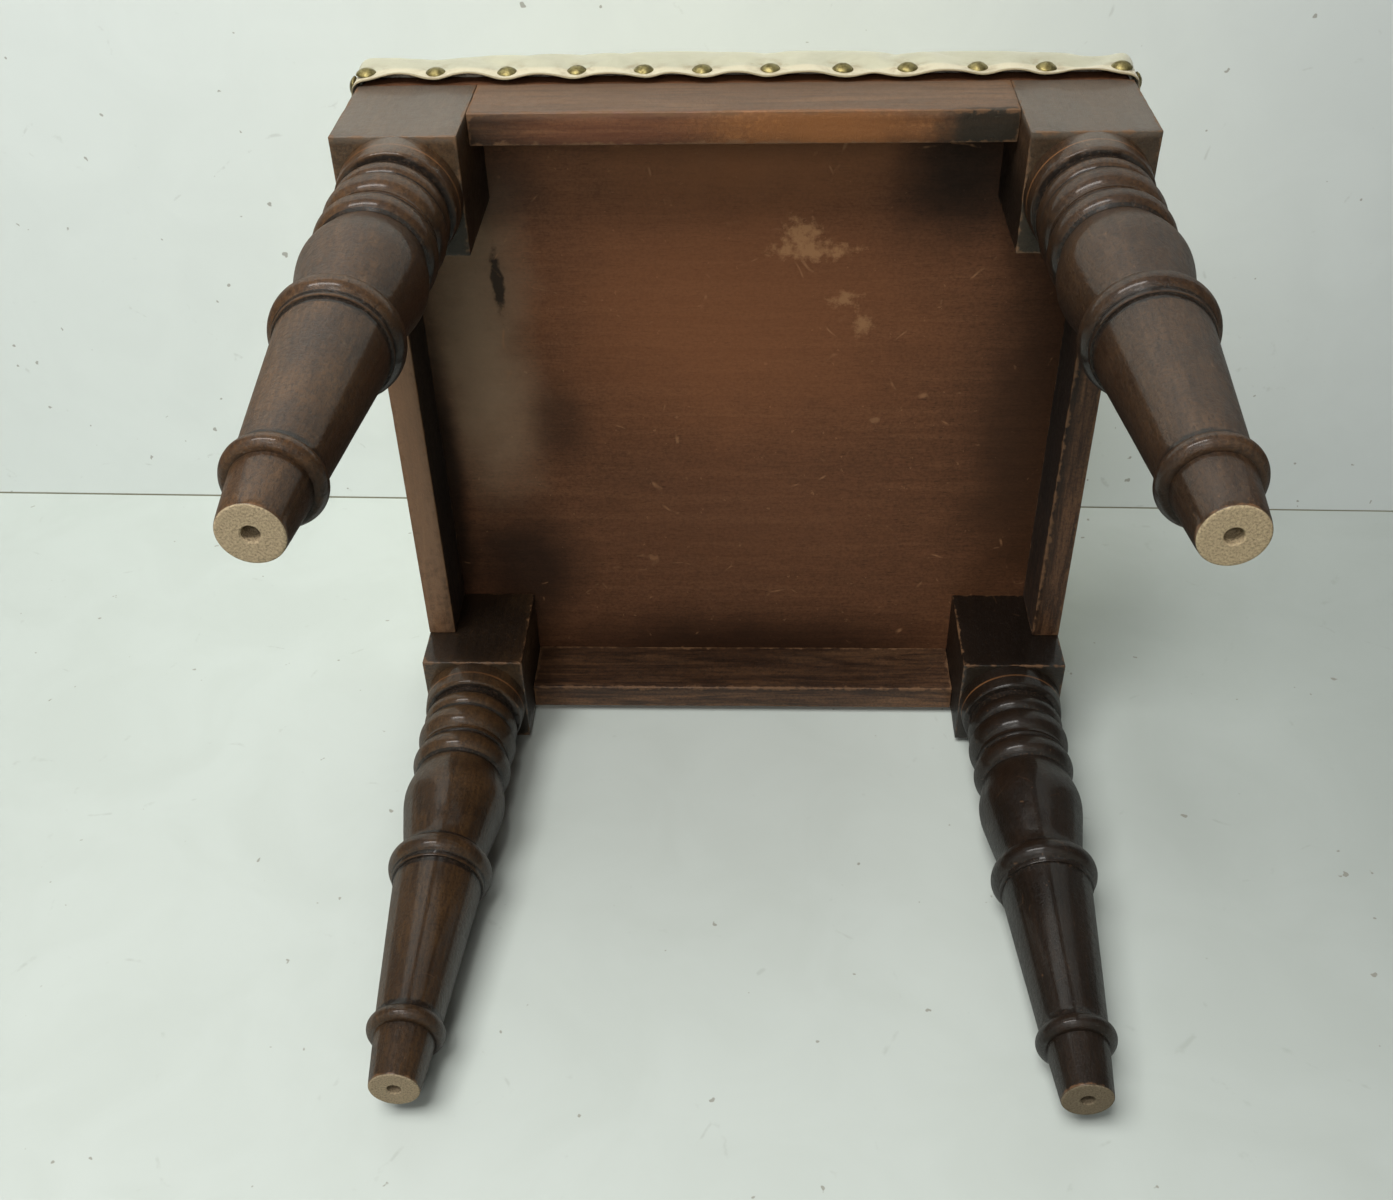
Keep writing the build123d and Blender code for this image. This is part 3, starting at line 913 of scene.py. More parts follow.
@dataclass
class TurnedLeg:
    """A leg: square block above, beads, vase, collar, tapering shaft and foot below."""

    corner: str
    finish: Wood
    block_low: float = 321.5 * MM
    shoulder_height: float = 18.5 * MM
    shoulder_radius: float = 35.5 * MM
    lip: float = 1.3 * MM
    groove_height: float = 5.5 * MM
    bead_end: float = 30.0 * MM
    top_bead: tuple[float, float] = (13.0 * MM, 32.9 * MM)
    mid_bead: tuple[float, float] = (20.0 * MM, 34.0 * MM)
    fillet: tuple[float, float] = (2.0 * MM, 30.4 * MM)
    cove: tuple[float, float] = (3.5 * MM, 28.2 * MM)
    low_bead: tuple[float, float] = (18.5 * MM, 33.5 * MM)
    vase_top: float = 28.8 * MM
    crown: tuple[float, float] = (22.5 * MM, 33.6 * MM)
    flank: tuple[float, float] = (23.0 * MM, 30.6 * MM)
    vase_foot: tuple[float, float] = (21.0 * MM, 26.8 * MM)
    neck: tuple[float, float] = (8.0 * MM, 27.2 * MM)
    collar: tuple[float, float] = (15.5 * MM, 33.4 * MM)
    collar_fillet: tuple[float, float] = (3.5 * MM, 29.6 * MM)
    shaft_high: float = 28.2 * MM
    shaft_low: float = 19.6 * MM
    shaft_rise: float = 1.5 * MM
    ring: tuple[float, float] = (10.5 * MM, 23.2 * MM)
    ring_end: float = 20.0 * MM
    foot: tuple[float, float] = (32.5 * MM, 18.0 * MM)
    foot_radius: float = 14.8 * MM
    foot_edge: float = 1.2 * MM
    socket: tuple[float, float] = (32.0 * MM, 4.0 * MM)
    end_grain: float = 0.05
    steps_round: int = 84

    def outline(self) -> list[tuple[float, float]]:
        """Work out the turned outline from the socket down, round the foot and up."""
        depth, bore = self.socket
        foot_top, foot_neck = self.foot
        line = [(0.0, depth), (bore * 0.6, depth), (bore, depth * 0.96), (bore, 4 * MM),
                (bore, 0.6 * MM), (bore * 1.15, 0.0)]
        rim = self.foot_radius - self.foot_edge
        line += [(bore + (rim - bore) * share, 0.0) for share in (0.3, 0.5, 0.7, 0.85, 1.0)]
        line += arc((rim, 0.0), (rim + 0.75 * self.foot_edge, 0.35 * self.foot_edge),
                    (self.foot_radius, self.foot_edge), 4)
        line += [(self.foot_radius + (foot_neck - self.foot_radius) * share, foot_top * share)
                 for share in (0.12, 0.3, 0.5, 0.7, 0.88, 0.98, 1.0)]
        ring_top = foot_top + self.ring[0]
        line += [(self.ring_end, foot_top + 0.1 * MM)]
        line += self._bead(foot_top, ring_top, self.ring_end, self.ring[1], 12)
        shaft_start = ring_top + self.shaft_rise
        heights = self._heights()
        line += [(self.shaft_low, shaft_start)]
        line += [(self.shaft_low + (self.shaft_high - self.shaft_low) * share,
                  shaft_start + (heights["shaft"] - shaft_start) * share)
                 for share in (i / 26 for i in range(1, 27))]
        line += [(self.collar_fillet[1] - 0.3 * MM, heights["shaft"] + 0.2 * MM),
                 (self.collar_fillet[1], heights["shaft"] + 0.8 * MM),
                 (self.collar_fillet[1], heights["collar_low"])]
        line += self._bead(heights["collar_low"], heights["collar_high"],
                           self.collar_fillet[1], self.collar[1], 18)
        line += [(self.neck[1], heights["collar_high"] + 0.2 * MM)]
        line += curve_through([(self.neck[1], heights["collar_high"] + 0.2 * MM),
                               (self.vase_foot[1], heights["neck"]), (self.flank[1], heights["flank"]),
                               (self.crown[1], heights["belly"]), (self.vase_top, heights["vase"])], 9)
        line += self._bead(heights["vase"], heights["low_bead"], self.vase_top, self.low_bead[1], 18)
        line += arc((self.vase_top, heights["low_bead"]),
                    (self.cove[1], (heights["low_bead"] + heights["cove"]) / 2),
                    (self.fillet[1], heights["cove"]), 5)
        line += [(self.fillet[1], heights["fillet"]), (self.bead_end, heights["fillet"] + 0.1 * MM)]
        line += self._bead(heights["fillet"], heights["mid_bead"], self.bead_end, self.mid_bead[1], 18)
        line += self._bead(heights["mid_bead"], heights["top_bead"], self.bead_end, self.top_bead[1], 14)
        lip = self.shoulder_radius - self.lip
        line += [(self.bead_end - 0.2 * MM, heights["top_bead"] + 0.5 * self.groove_height),
                 (self.bead_end, heights["shoulder"] - 0.3 * MM),
                 (lip - 0.8 * MM, heights["shoulder"]), (lip, heights["shoulder"] + 0.8 * MM)]
        line += [(lip + (self.shoulder_radius - lip) * math.sin(share * math.pi / 2),
                  heights["shoulder"] + self.shoulder_height * share)
                 for share in (0.15, 0.3, 0.5, 0.7, 0.85, 1.0)]
        line += [(self.shoulder_radius, self.block_low + 1 * MM), (0.0, self.block_low + 1 * MM)]
        return line

    @staticmethod
    def _bead(low: float, high: float, end: float, crest: float, steps: int) -> list[tuple[float, float]]:
        """Half-round member between two heights."""
        return arc((end, low), (crest, (low + high) / 2), (end, high), steps)

    def _heights(self) -> dict[str, float]:
        """Stack the members' upper ends from the block down."""
        members = (("shoulder", self.shoulder_height), ("top_bead", self.groove_height),
                   ("mid_bead", self.top_bead[0]), ("fillet", self.mid_bead[0]),
                   ("cove", self.fillet[0]), ("low_bead", self.cove[0]), ("vase", self.low_bead[0]),
                   ("belly", self.crown[0]), ("flank", self.flank[0]), ("neck", self.vase_foot[0]),
                   ("collar_high", self.neck[0]), ("collar_low", self.collar[0]),
                   ("shaft", self.collar_fillet[0]))
        heights, level = {}, self.block_low
        for name, drop in members:
            level -= drop
            heights[name] = level
        return heights

    def _painter(self, line: Sequence[tuple[float, float]]) -> Callable[[int], dict[str, float]]:
        """Find crests, hollows and bare wood along the outline.

        Args:
            line: The outline.

        Returns:
            A function that gives an outline point's masks.
        """
        reach = 4.5 * MM
        on_foot = next(i for i, (r, z) in enumerate(line) if r >= self.foot_radius - 1e-9)

        def masks_of(index: int) -> dict[str, float]:
            """Masks of one outline point."""
            radius, height = line[index]
            if index <= on_foot - 2:
                return {"bare": 1.0, "hollow": 0.9 if height > 0.2 * MM else 0.0}
            close = [r for r, z in line[on_foot:-1] if abs(z - height) < reach]
            swell = radius - sum(close) / len(close)
            hollow = ease(-swell, 0.25 * MM, 1.1 * MM) * ease(height, 20 * MM, 60 * MM)
            edge = ease(swell, 0.6 * MM, 2.0 * MM) * 0.8
            if height < 2 * MM:
                edge = 1.0
            return {"edge": edge, "hollow": hollow}

        return masks_of

    def build(self, effects: Effects) -> bpy.types.Object:
        """Model the leg where its solid is and dress it.

        Args:
            effects: The shared effects.

        Returns:
            The leg.
        """
        node = f"leg_{self.corner}"
        low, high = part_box(node)
        bm = bmesh.new()
        axis = Vector(((low.x + high.x) / 2, (low.y + high.y) / 2, 0.0))
        line = self.outline()
        turned = spin_round(bm, line, axis, self.steps_round, self._painter(line))
        hollow = masks(bm)["hollow"]
        for v in turned:
            out = Vector((v.co.x - axis.x, v.co.y - axis.y, 0.0))
            if out.length > self.socket[1] * 1.3 and v.co.z > 1.5 * MM:
                rough = 0.1 + 0.45 * v[hollow]
                shift = rough * ragged(v.co, 55.0) + 0.5 * v[hollow] * ragged(v.co, 380.0)
                v.co += out.normalized() * shift * 0.6 * MM
        block = worn_block(bm, Vector((low.x, low.y, self.block_low)), high, 4.5 * MM)
        layers = masks(bm)
        for v in block:
            if v.co.z < self.block_low + 0.4 * MM:
                v[layers["bare"]] = self.end_grain
        return fit(finish_piece(bm, f"leg.{self.corner}", self.finish.material(effects)),
                   "turned_wood", node)


@dataclass
class Rail:
    """One of the four rails between the legs."""

    side: str
    finish: Wood
    rounding: float = 0.6 * MM
    dents: float = 0.5 * MM

    def build(self, effects: Effects) -> bpy.types.Object:
        """Model the rail where its solid is and dress it.

        Args:
            effects: The shared effects.

        Returns:
            The rail.
        """
        node = f"rail_{self.side}"
        low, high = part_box(node)
        bm = bmesh.new()
        worn_block(bm, low, high, 5 * MM, self.rounding, 3.5 * MM, self.dents)
        return fit(finish_piece(bm, f"rail.{self.side}", self.finish.material(effects)),
                   "rail_wood", node)


@dataclass
class NailRow:
    """The domed nails along one side, with their shanks."""

    side: Side
    tilt: float = 4.0
    steps_round: int = 20
    head_radius: float = 6.35 * MM
    head_height: float = 3.4 * MM
    shank_radius: float = 0.9 * MM
    shank_length: float = 16.0 * MM
    rim: float = 0.35 * MM

    @property
    def node(self) -> str:
        """Name of the solid that holds this side's nails."""
        return f"nails_{self.side.name.lower()}"

    def centres(self) -> list[Vector]:
        """Find where each head meets the cover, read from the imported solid."""
        outward, along = self.side.outward, self.side.along
        points = [v.co.copy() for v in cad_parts[self.node].data.vertices]
        face = max(p.dot(outward) for p in points) - self.head_height
        heads = sorted((p for p in points if p.dot(outward) > face - 0.05 * MM), key=lambda p: p[along])
        rows: list[list[Vector]] = []
        for point in heads:
            if not rows or point[along] - rows[-1][-1][along] > 6 * MM:
                rows.append([])
            rows[-1].append(point)
        centres = []
        for row in rows:
            low = Vector([min(p[i] for p in row) for i in range(3)])
            high = Vector([max(p[i] for p in row) for i in range(3)])
            middle = (low + high) / 2
            centres.append(middle + outward * (face - middle.dot(outward)))
        return centres

    def build(self, material: bpy.types.Material) -> bpy.types.Object:
        """Model the row where its solid is.

        Args:
            material: The nails' finish.

        Returns:
            The row of nails.
        """
        radius, height = self.head_radius, self.head_height
        outline = [(0.0, -self.shank_length), (self.shank_radius * 0.7, 2 * MM - self.shank_length),
                   (self.shank_radius, -1 * MM), (radius * 0.8, -0.2 * MM), (radius, -0.1 * MM),
                   (radius * 1.0, self.rim)]
        outline += arc((radius, self.rim), (radius * 0.62, height * 0.72), (0.0, height), 6)[:-1]
        outline += [(0.0, height)]
        bm = bmesh.new()
        for number, centre in enumerate(self.centres()):
            fresh = spin_round(bm, outline, Vector((0.0, 0.0, 0.0)), self.steps_round)
            lean = Vector((ragged(centre, 91.0), ragged(centre, 133.0), 0.0)) * math.radians(self.tilt)
            turn = self.side.outward.to_track_quat("Z", "Y").to_matrix().to_4x4()
            wobble = Matrix.Rotation(lean.x, 4, "X") @ Matrix.Rotation(lean.y, 4, "Y")
            sunk = Matrix.Translation(centre - self.side.outward * 0.35 * MM)
            for v in fresh:
                if v.co.z > self.rim:
                    v.co.z += 0.25 * MM * ragged(v.co * (1 + number), 210.0)
            bmesh.ops.transform(bm, matrix=sunk @ turn @ wobble, verts=fresh)
        piece = finish_piece(bm, f"nails.{self.side.name.lower()}", material, 50.0)
        return fit(piece, "nail_brass", self.node)


@dataclass
class PaddedSeat:
    """Foam, wadding and the nailed cover over the board."""

    nails: dict[Side, list[Vector]]
    corner_round: float = 9 * MM
    edge_round: float = 33 * MM
    cells_across: int = 78
    cells_down: int = 12
    cover_thickness: float = 1.3 * MM
    corner_sag: float = 19 * MM
    side_bulge: float = 2.0 * MM
    corner_bulge: float = 2.0 * MM
    swell_cap: float = 5 * MM
    frames: int = 20
    hem_rises: tuple[float, ...] = (0.8, 2.4, 3.0, 1.0, 0.2, 1.6, 1.0, 0.4, 0.8, 0.6, 0.8, 0.4, 1.4)
    hem_dips: tuple[float, ...] = (1.2, 1.0, 2.0, 0.8, 0.6, 1.2, 0.5, 0.8, 0.4, 0.6, 0.8, 0.4)
    flat_size: float = 0.60

    def place(self, x: float, y: float, drop: float, half: float, top: float) -> Vector:
        """Lay a point of the flat cover over the padding.

        Args:
            x: Place across the flat cover.
            y: Place along the flat cover.
            drop: How far below the top edge the point hangs on a side.
            half: Half the cover's width.
            top: Height of the cover's top.

        Returns:
            The point on the padded seat.
        """
        inner = half - self.corner_round
        dx, dy = abs(x) - inner, abs(y) - inner
        if dx > 0 and dy > 0:
            shrink = max(dx, dy) / math.hypot(dx, dy)
            dx, dy = dx * shrink, dy * shrink
            x, y = math.copysign(inner + dx, x), math.copysign(inner + dy, y)
            reach = math.hypot(dx, dy)
            out = Vector((math.copysign(dx, x), math.copysign(dy, y), 0.0)) / reach
            depth = self.corner_round - reach
        elif abs(x) > abs(y):
            out, depth = Vector((math.copysign(1.0, x), 0.0, 0.0)), half - abs(x)
        else:
            out, depth = Vector((0.0, math.copysign(1.0, y), 0.0)), half - abs(y)
        bend = self.edge_round
        edge = Vector((x, y, top)) + out * depth
        if depth < bend and drop < bend:
            across, down = bend - depth, bend - drop
            scale = bend / math.hypot(across, down)
            depth, drop = bend - across * scale, bend - down * scale
        return edge - out * depth - Vector((0.0, 0.0, drop))

    def shell(self, half: float, top: float, hem: Callable[[float, float], float]) -> bmesh.types.BMesh:
        """Model the open shell that lies over the padding.

        Args:
            half: Half its width.
            top: Height of its top.
            hem: Gives the hem's height at a place on the outline.

        Returns:
            The shell.
        """
        bm = bmesh.new()
        bmesh.ops.create_grid(bm, x_segments=self.cells_across, y_segments=self.cells_across, size=half)
        loop = [e for e in bm.edges if e.is_boundary]
        for _ in range(self.cells_down):
            new = bmesh.ops.extrude_edge_only(bm, edges=loop)["geom"]
            rim = [g for g in new if isinstance(g, bmesh.types.BMVert)]
            bmesh.ops.translate(bm, verts=rim, vec=(0.0, 0.0, -1.0))
            loop = [g for g in new if isinstance(g, bmesh.types.BMEdge)]
        for v in bm.verts:
            x, y, rows = v.co.x, v.co.y, -v.co.z
            drop = (top - hem(x, y)) * rows / self.cells_down
            v.co = self.place(x, y, drop, half, top)
        bmesh.ops.recalc_face_normals(bm, faces=bm.faces)
        if sum(f.normal.z for f in bm.faces) < 0:
            bmesh.ops.reverse_faces(bm, faces=bm.faces)
        return bm

    def hem_height(self, x: float, y: float, base: float) -> float:
        """Height of the scalloped hem: it dips under each nail and rises between two.

        Args:
            x: Place across the seat.
            y: Place along the seat.
            base: Height of an even hem.

        Returns:
            The hem's height.
        """
        if abs(x) > abs(y):
            side, at = (Side.LEFT if x < 0 else Side.RIGHT), y
        else:
            side, at = (Side.FRONT if y < 0 else Side.BACK), x
        places = sorted(c[side.along] for c in self.nails[side])
        gaps = [(a + b) / 2 for a, b in zip(places, places[1:])]
        widths = [b - a for a, b in zip(places, places[1:])]
        level = base - 2.0 * MM * ease(abs(at), places[-1] + 5 * MM, places[-1] + 12 * MM)
        shift = {Side.FRONT: 0, Side.BACK: 5, Side.LEFT: 3, Side.RIGHT: 8}[side]
        for number, (gap, width) in enumerate(zip(gaps, widths)):
            rise = self.hem_rises[(number + 1 + shift) % len(self.hem_rises)]
            level += rise * MM * math.exp(-((at - gap) / (0.3 * width)) ** 2)
        for number, spot in enumerate(places):
            dip = self.hem_dips[(number + shift) % len(self.hem_dips)]
            level -= dip * MM * math.exp(-((at - spot) / (10 * MM)) ** 2)
        return level

    def _near_nail(self, point: Vector, reach: float) -> float:
        """Closeness of a point to its nearest nail, from 0 to 1."""
        gap = min((point - c).length for row in self.nails.values() for c in row)
        return 1 - ease(gap, 0.35 * reach, reach)

    def foam(self, effects: Effects) -> bpy.types.Object:
        """Model the foam block.

        Args:
            effects: The shared effects.

        Returns:
            The foam.
        """
        low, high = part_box("seat_foam")
        bm = bmesh.new()
        size, middle = high - low, (low + high) / 2
        place = Matrix.Translation(middle) @ Matrix.Diagonal((*size, 1.0))
        bmesh.ops.create_cube(bm, size=1.0, matrix=place)
        upper = [e for e in bm.edges if all(v.co.z > middle.z for v in e.verts)]
        bmesh.ops.bevel(bm, geom=upper, offset=20 * MM, offset_type="OFFSET", affect="EDGES",
                        segments=6, profile=0.5, material=-1)
        for axis in (0, 1):
            normal = Vector([float(i == axis) for i in range(3)])
            for index in range(1, 24):
                geom = [*bm.verts, *bm.edges, *bm.faces]
                bmesh.ops.bisect_plane(bm, geom=geom, plane_co=low + size * (index / 24), plane_no=normal)
        for v in bm.verts:
            if v.co.z > high.z - 22 * MM:
                v.co.z -= self._corner_drop(v.co.x, v.co.y, size.x / 2) * ease(v.co.z, high.z - 22 * MM, high.z)
                v.co += v.normal * ragged(v.co, 30.0) * 0.4 * MM
        stuffing = Stuffing("seat foam", tint(214, 190, 120), tint(150, 122, 66), 620.0)
        piece = finish_piece(bm, "foam", stuffing.material(effects), 60.0)
        fit(piece, "foam", "seat_foam")
        return piece

    def _corner_drop(self, x: float, y: float, half: float) -> float:
        """How far the padding's top lies below its middle at a place."""
        across, along = min(1.0, abs(x) / half), min(1.0, abs(y) / half)
        lumps = 1.6 * MM * (0.5 + ragged(Vector((x, y, 0.0)), 13.0)) * max(across, along) ** 4
        return self.corner_sag * (across * along) ** 2.2 + 1.2 * MM * max(across, along) ** 4 + lumps

    def wadding(self, effects: Effects) -> bpy.types.Object:
        """Model the fibre wadding that wraps the foam.

        Args:
            effects: The shared effects.

        Returns:
            The wadding.
        """
        low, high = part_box("seat_wadding")
        half = (high.x - low.x) / 2 - 0.5 * MM
        bm = self.shell(half, high.z - 0.4 * MM, lambda x, y: low.z + 11 * MM)
        for v in bm.verts:
            v.co.z -= self._corner_drop(v.co.x, v.co.y, half) * ease(v.co.z, high.z - 30 * MM, high.z)
            v.co += v.normal * (ragged(v.co, 90.0) * 0.3 - 0.3) * MM
        stuffing = Stuffing("fibre wadding", tint(226, 222, 208), tint(180, 174, 156), 380.0)
        piece = finish_piece(bm, "wadding", stuffing.material(effects), 60.0)
        wall = piece.modifiers.new("thickness", "SOLIDIFY")
        wall.thickness = 1.8 * MM
        wall.offset = -1.0
        fit(piece, "wadding", "seat_wadding")
        return piece

    def _swell(self, piece: bpy.types.Object) -> None:
        """Let the cover swell against its nails, then keep the result.

        Args:
            piece: The cover, with a vertex group of what the nails hold.
        """
        start = [v.co.copy() for v in piece.data.vertices]
        cloth = piece.modifiers.new("stretch", "CLOTH")
        settings = cloth.settings
        settings.quality = 6
        settings.mass = 0.25
        settings.tension_stiffness = 18.0
        settings.compression_stiffness = 12.0
        settings.shear_stiffness = 6.0
        settings.bending_stiffness = 0.6
        settings.effector_weights.gravity = 0.0
        settings.vertex_group_mass = "held"
        settings.pin_stiffness = 1.0
        settings.use_pressure = True
        settings.uniform_pressure_force = 3.0
        settings.shrink_min = -0.015
        cloth.collision_settings.use_collision = False
        cloth.point_cache.frame_start = 1
        cloth.point_cache.frame_end = self.frames
        scene = bpy.context.scene
        for number in range(1, self.frames + 1):
            scene.frame_set(number)
        graph = bpy.context.evaluated_depsgraph_get()
        swollen = [v.co.copy() for v in piece.evaluated_get(graph).data.vertices]
        piece.modifiers.remove(cloth)
        scene.frame_set(1)
        for v, was, now in zip(piece.data.vertices, start, swollen):
            move = now - was
            if move.length > 1e-7:
                v.co = was + move.normalized() * self.swell_cap * math.tanh(move.length / self.swell_cap)

    def cover(self, effects: Effects) -> bpy.types.Object:
        """Model the leathercloth cover, stretched over the padding and nailed.

        Args:
            effects: The shared effects.

        Returns:
            The cover.
        """
        low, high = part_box("seat_cover")
        half = (high.x - low.x) / 2 - 0.2 * MM
        top, line = high.z, low.z - 3.0 * MM
        bm = self.shell(half, top, lambda x, y: self.hem_height(x, y, line))
        held = bm.verts.layers.deform.verify()
        layers = bm.verts.layers.float
        hem, near = layers.new("hem"), layers.new("nail")
        rim = {v for v in bm.verts if v.is_boundary}
        for v in bm.verts:
            side_share = 1 - ease(v.co.z, low.z + 6 * MM, low.z + 14 * MM)
            v[hem] = 1.0 if v in rim else 0.85 * side_share
            v[near] = self._near_nail(v.co, 17 * MM)
            grip = self._near_nail(v.co, 10 * MM)
            v.co.z -= self._corner_drop(v.co.x, v.co.y, half) * ease(v.co.z, top - 32 * MM, top)
            up_side = math.sin(math.pi * min(1.0, max(0.0, (v.co.z - low.z - 8 * MM) / (top - low.z - 8 * MM))))
            if max(abs(v.co.x), abs(v.co.y)) > half - 3 * MM:
                along = min(abs(v.co.x), abs(v.co.y)) / half
                out = Vector((v.co.x, 0.0, 0.0)) if abs(v.co.x) > abs(v.co.y) else Vector((0.0, v.co.y, 0.0))
                v.co += out.normalized() * self.side_bulge * up_side * (1 - along ** 2) * (1 - grip)
                round_corner = ease(along, 0.94, 0.99) * (1 - grip) * up_side
                v.co += Vector((v.co.x, v.co.y, 0.0)).normalized() * self.corner_bulge * round_corner
            middle = max(abs(v.co.x), abs(v.co.y))
            on_foam = (1 - ease(middle, half - 46 * MM, half - 26 * MM)) * 0.98
            at_corner = ease(min(abs(v.co.x), abs(v.co.y)), half - 16 * MM, half - 8 * MM) * side_share
            v[held][0] = max(grip, on_foam, at_corner)
        piece = finish_piece(bm, "cover", CoatedCloth().material(effects), 80.0)
        piece.vertex_groups.new(name="held")
        self._swell(piece)
        wall = piece.modifiers.new("thickness", "SOLIDIFY")
        wall.thickness = self.cover_thickness
        wall.offset = -1.0
        smooth = piece.modifiers.new("smooth", "SUBSURF")
        smooth.levels = smooth.render_levels = 1
        fit(piece, "leathercloth", "seat_cover")
        return piece


@dataclass
class HiddenJoinery:
    """Dowels and screws, which keep their own solids and get a finish."""

    dowels: tuple[str, ...] = ("dowels_front_left", "dowels_front_right",
                               "dowels_back_left", "dowels_back_right")

    def dress(self, effects: Effects) -> None:
        """Give each solid its finish.

        Args:
            effects: The shared effects.
        """
        beech = Wood("beech dowel", tint(176, 138, 92), tint(200, 164, 118), tint(214, 182, 138),
                     GrainWay.ALONG_X, roughness=0.7, coat=0.0, scratch_amount=0.05).material(effects)
        for name in self.dowels:
            self._dress(name, beech)
        steel = AgedMetal("zinc plated steel", tint(176, 176, 172), tint(122, 122, 118), tint(96, 70, 48))
        self._dress("board_screws", steel.material(effects))

    @staticmethod
    def _dress(name: str, material: bpy.types.Material) -> None:
        """Put a material on a solid of the frame."""
        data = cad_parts[name].data
        data.materials.clear()
        data.materials.append(material)
        LOG.info("%s: dressed in %s", name, material.name)


@dataclass
class SeatBoard:
    """The board that closes the frame under the padding."""

    finish: Wood

    def dress(self, effects: Effects) -> None:
        """Give the board's solid its finish.

        Args:
            effects: The shared effects.
        """
        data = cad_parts["seat_board"].data
        data.materials.clear()
        data.materials.append(self.finish.material(effects))
        LOG.info("seat_board: dressed in %s", self.finish.name)


@dataclass
class Studio:
    """Pale floor and backdrop, soft lamps and the camera."""

    lie_slope: float = 0.0402
    touch_height: float = 412 * MM
    wall_gap: float = 0.183
    wall_skew: float = 0.0213
    wall_height: float = 0.75
    floor_reach: float = 2.2
    eye: Place = (0.00469, -0.53538, -0.46582)
    aim: Place = (-0.03348, 0.14556, 0.38)
    roll: float = 1.409
    lens: float = 38.106
    sensor: float = 36.0

    def _board(self, name: str, centre: Vector, across: Vector, up: Vector,
               material: bpy.types.Material) -> bpy.types.Object:
        """Lay one flat board of the set.

        Args:
            name: Its name.
            centre: Its middle.
            across: Half its width, as a vector.
            up: Half its height, as a vector; across x up is its front.
            material: Its finish.

        Returns:
            The board.
        """
        bm = bmesh.new()
        corners = [bm.verts.new(centre + across * i + up * j) for i, j in ((-1, -1), (1, -1), (1, 1), (-1, 1))]
        bm.faces.new(corners)
        board = finish_piece(bm, name, material)
        board.visible_shadow = False
        board.visible_diffuse = False
        return board

    def backdrop(self, effects: Effects) -> None:
        """Set the floor that the bench lies on, the wall past its seat and a floor to stand on.

        Args:
            effects: The shared effects.
        """
        low, high = CAD_BOX
        # The third tint of each paint is the painted shade that it darkens to across X.
        floor = PaleBoard("floor paint", tint(185, 193, 188), tint(177, 185, 179),
                          tint(214, 214, 216)).material(effects)
        wall = PaleBoard("wall paint", tint(213, 220, 217), tint(207, 214, 211),
                         tint(232, 232, 234)).material(effects)
        joint = PaleBoard("joint shadow", tint(126, 124, 104), tint(108, 106, 88),
                          tint(255, 255, 255)).material(effects)
        reach, slope, skew = self.floor_reach, self.lie_slope, self.wall_skew
        end = high.z + self.wall_gap
        middle = end + 0.1 - reach
        lie = high.y + slope * (middle - self.touch_height)
        lying = self._board("set.lying_floor", Vector((0.0, lie, middle)), Vector((reach, 0.0, 0.0)),
                            Vector((0.0, slope, 1.0)) * reach, floor)
        line = Vector((0.0, high.y + slope * (end - self.touch_height), end))
        up = Vector((0.0, 1.0, -slope)) * self.wall_height
        standing_wall = self._board("set.wall", line - up * 0.85, Vector((-0.8, 0.0, 0.8 * skew)), up, wall)
        # Painted shadow: a thin dark strip laid along the corner where the wall meets the lying floor.
        self._board("set.corner_shadow", line - Vector((0.0, 0.001, 0.0006)), Vector((-0.8, 0.0, 0.8 * skew)),
                    Vector((0.0, 0.0009, 0.0)), joint)
        self._board("set.standing_floor", Vector((0.0, 0.0, low.z)), Vector((reach, 0.0, 0.0)),
                    Vector((0.0, reach, 0.0)), floor)
        for board in (lying, standing_wall):
            board.visible_diffuse = True

    def lamp(self, name: str, place: Place, aim: Place, size: float, power: float, colour: Tint) -> None:
        """Hang one soft square lamp.

        Args:
            name: Its name.
            place: Where it hangs.
            aim: Where it points.
            size: Its side.
            power: Its power in watts.
            colour: Its colour.
        """
        data = bpy.data.lights.new(name, "AREA")
        data.shape = "SQUARE"
        data.size = size
        data.energy = power
        data.color = colour[:3]
        lamp = bpy.data.objects.new(name, data)
        lamp.location = place
        lamp.rotation_euler = (Vector(aim) - Vector(place)).to_track_quat("-Z", "Y").to_euler()
        bpy.context.scene.collection.objects.link(lamp)

    def light(self) -> None:
        """Hang the lamps and set the light of the room."""
        plain, warm = tint(255, 253, 250), tint(255, 250, 240)
        self.lamp("lamp.key", (-0.7, -2.15, -0.4), (0.0, 0.1, 0.25), 1.5, 70.0, plain)
        self.lamp("lamp.fill", (-0.15, -1.35, -1.85), (0.0, 0.0, 0.2), 0.7, 15.0, plain)
        self.lamp("lamp.glint", (-0.35, -2.2, -0.95), (0.0, 0.0, 0.2), 0.28, 8.0, plain)
        self.lamp("lamp.top", (0.1, 0.45, 2.0), (0.0, 0.1, 0.3), 1.4, 26.0, warm)
        self.lamp("lamp.back", (0.4, 2.0, 0.9), (0.0, 0.0, 0.2), 1.4, 5.0, warm)
        world = bpy.data.worlds.new("room")
        bpy.context.scene.world = world
        world.use_nodes = True
        room = world.node_tree.nodes["Background"]
        room.inputs["Color"].default_value = tint(240, 240, 236)
        room.inputs["Strength"].default_value = 0.08

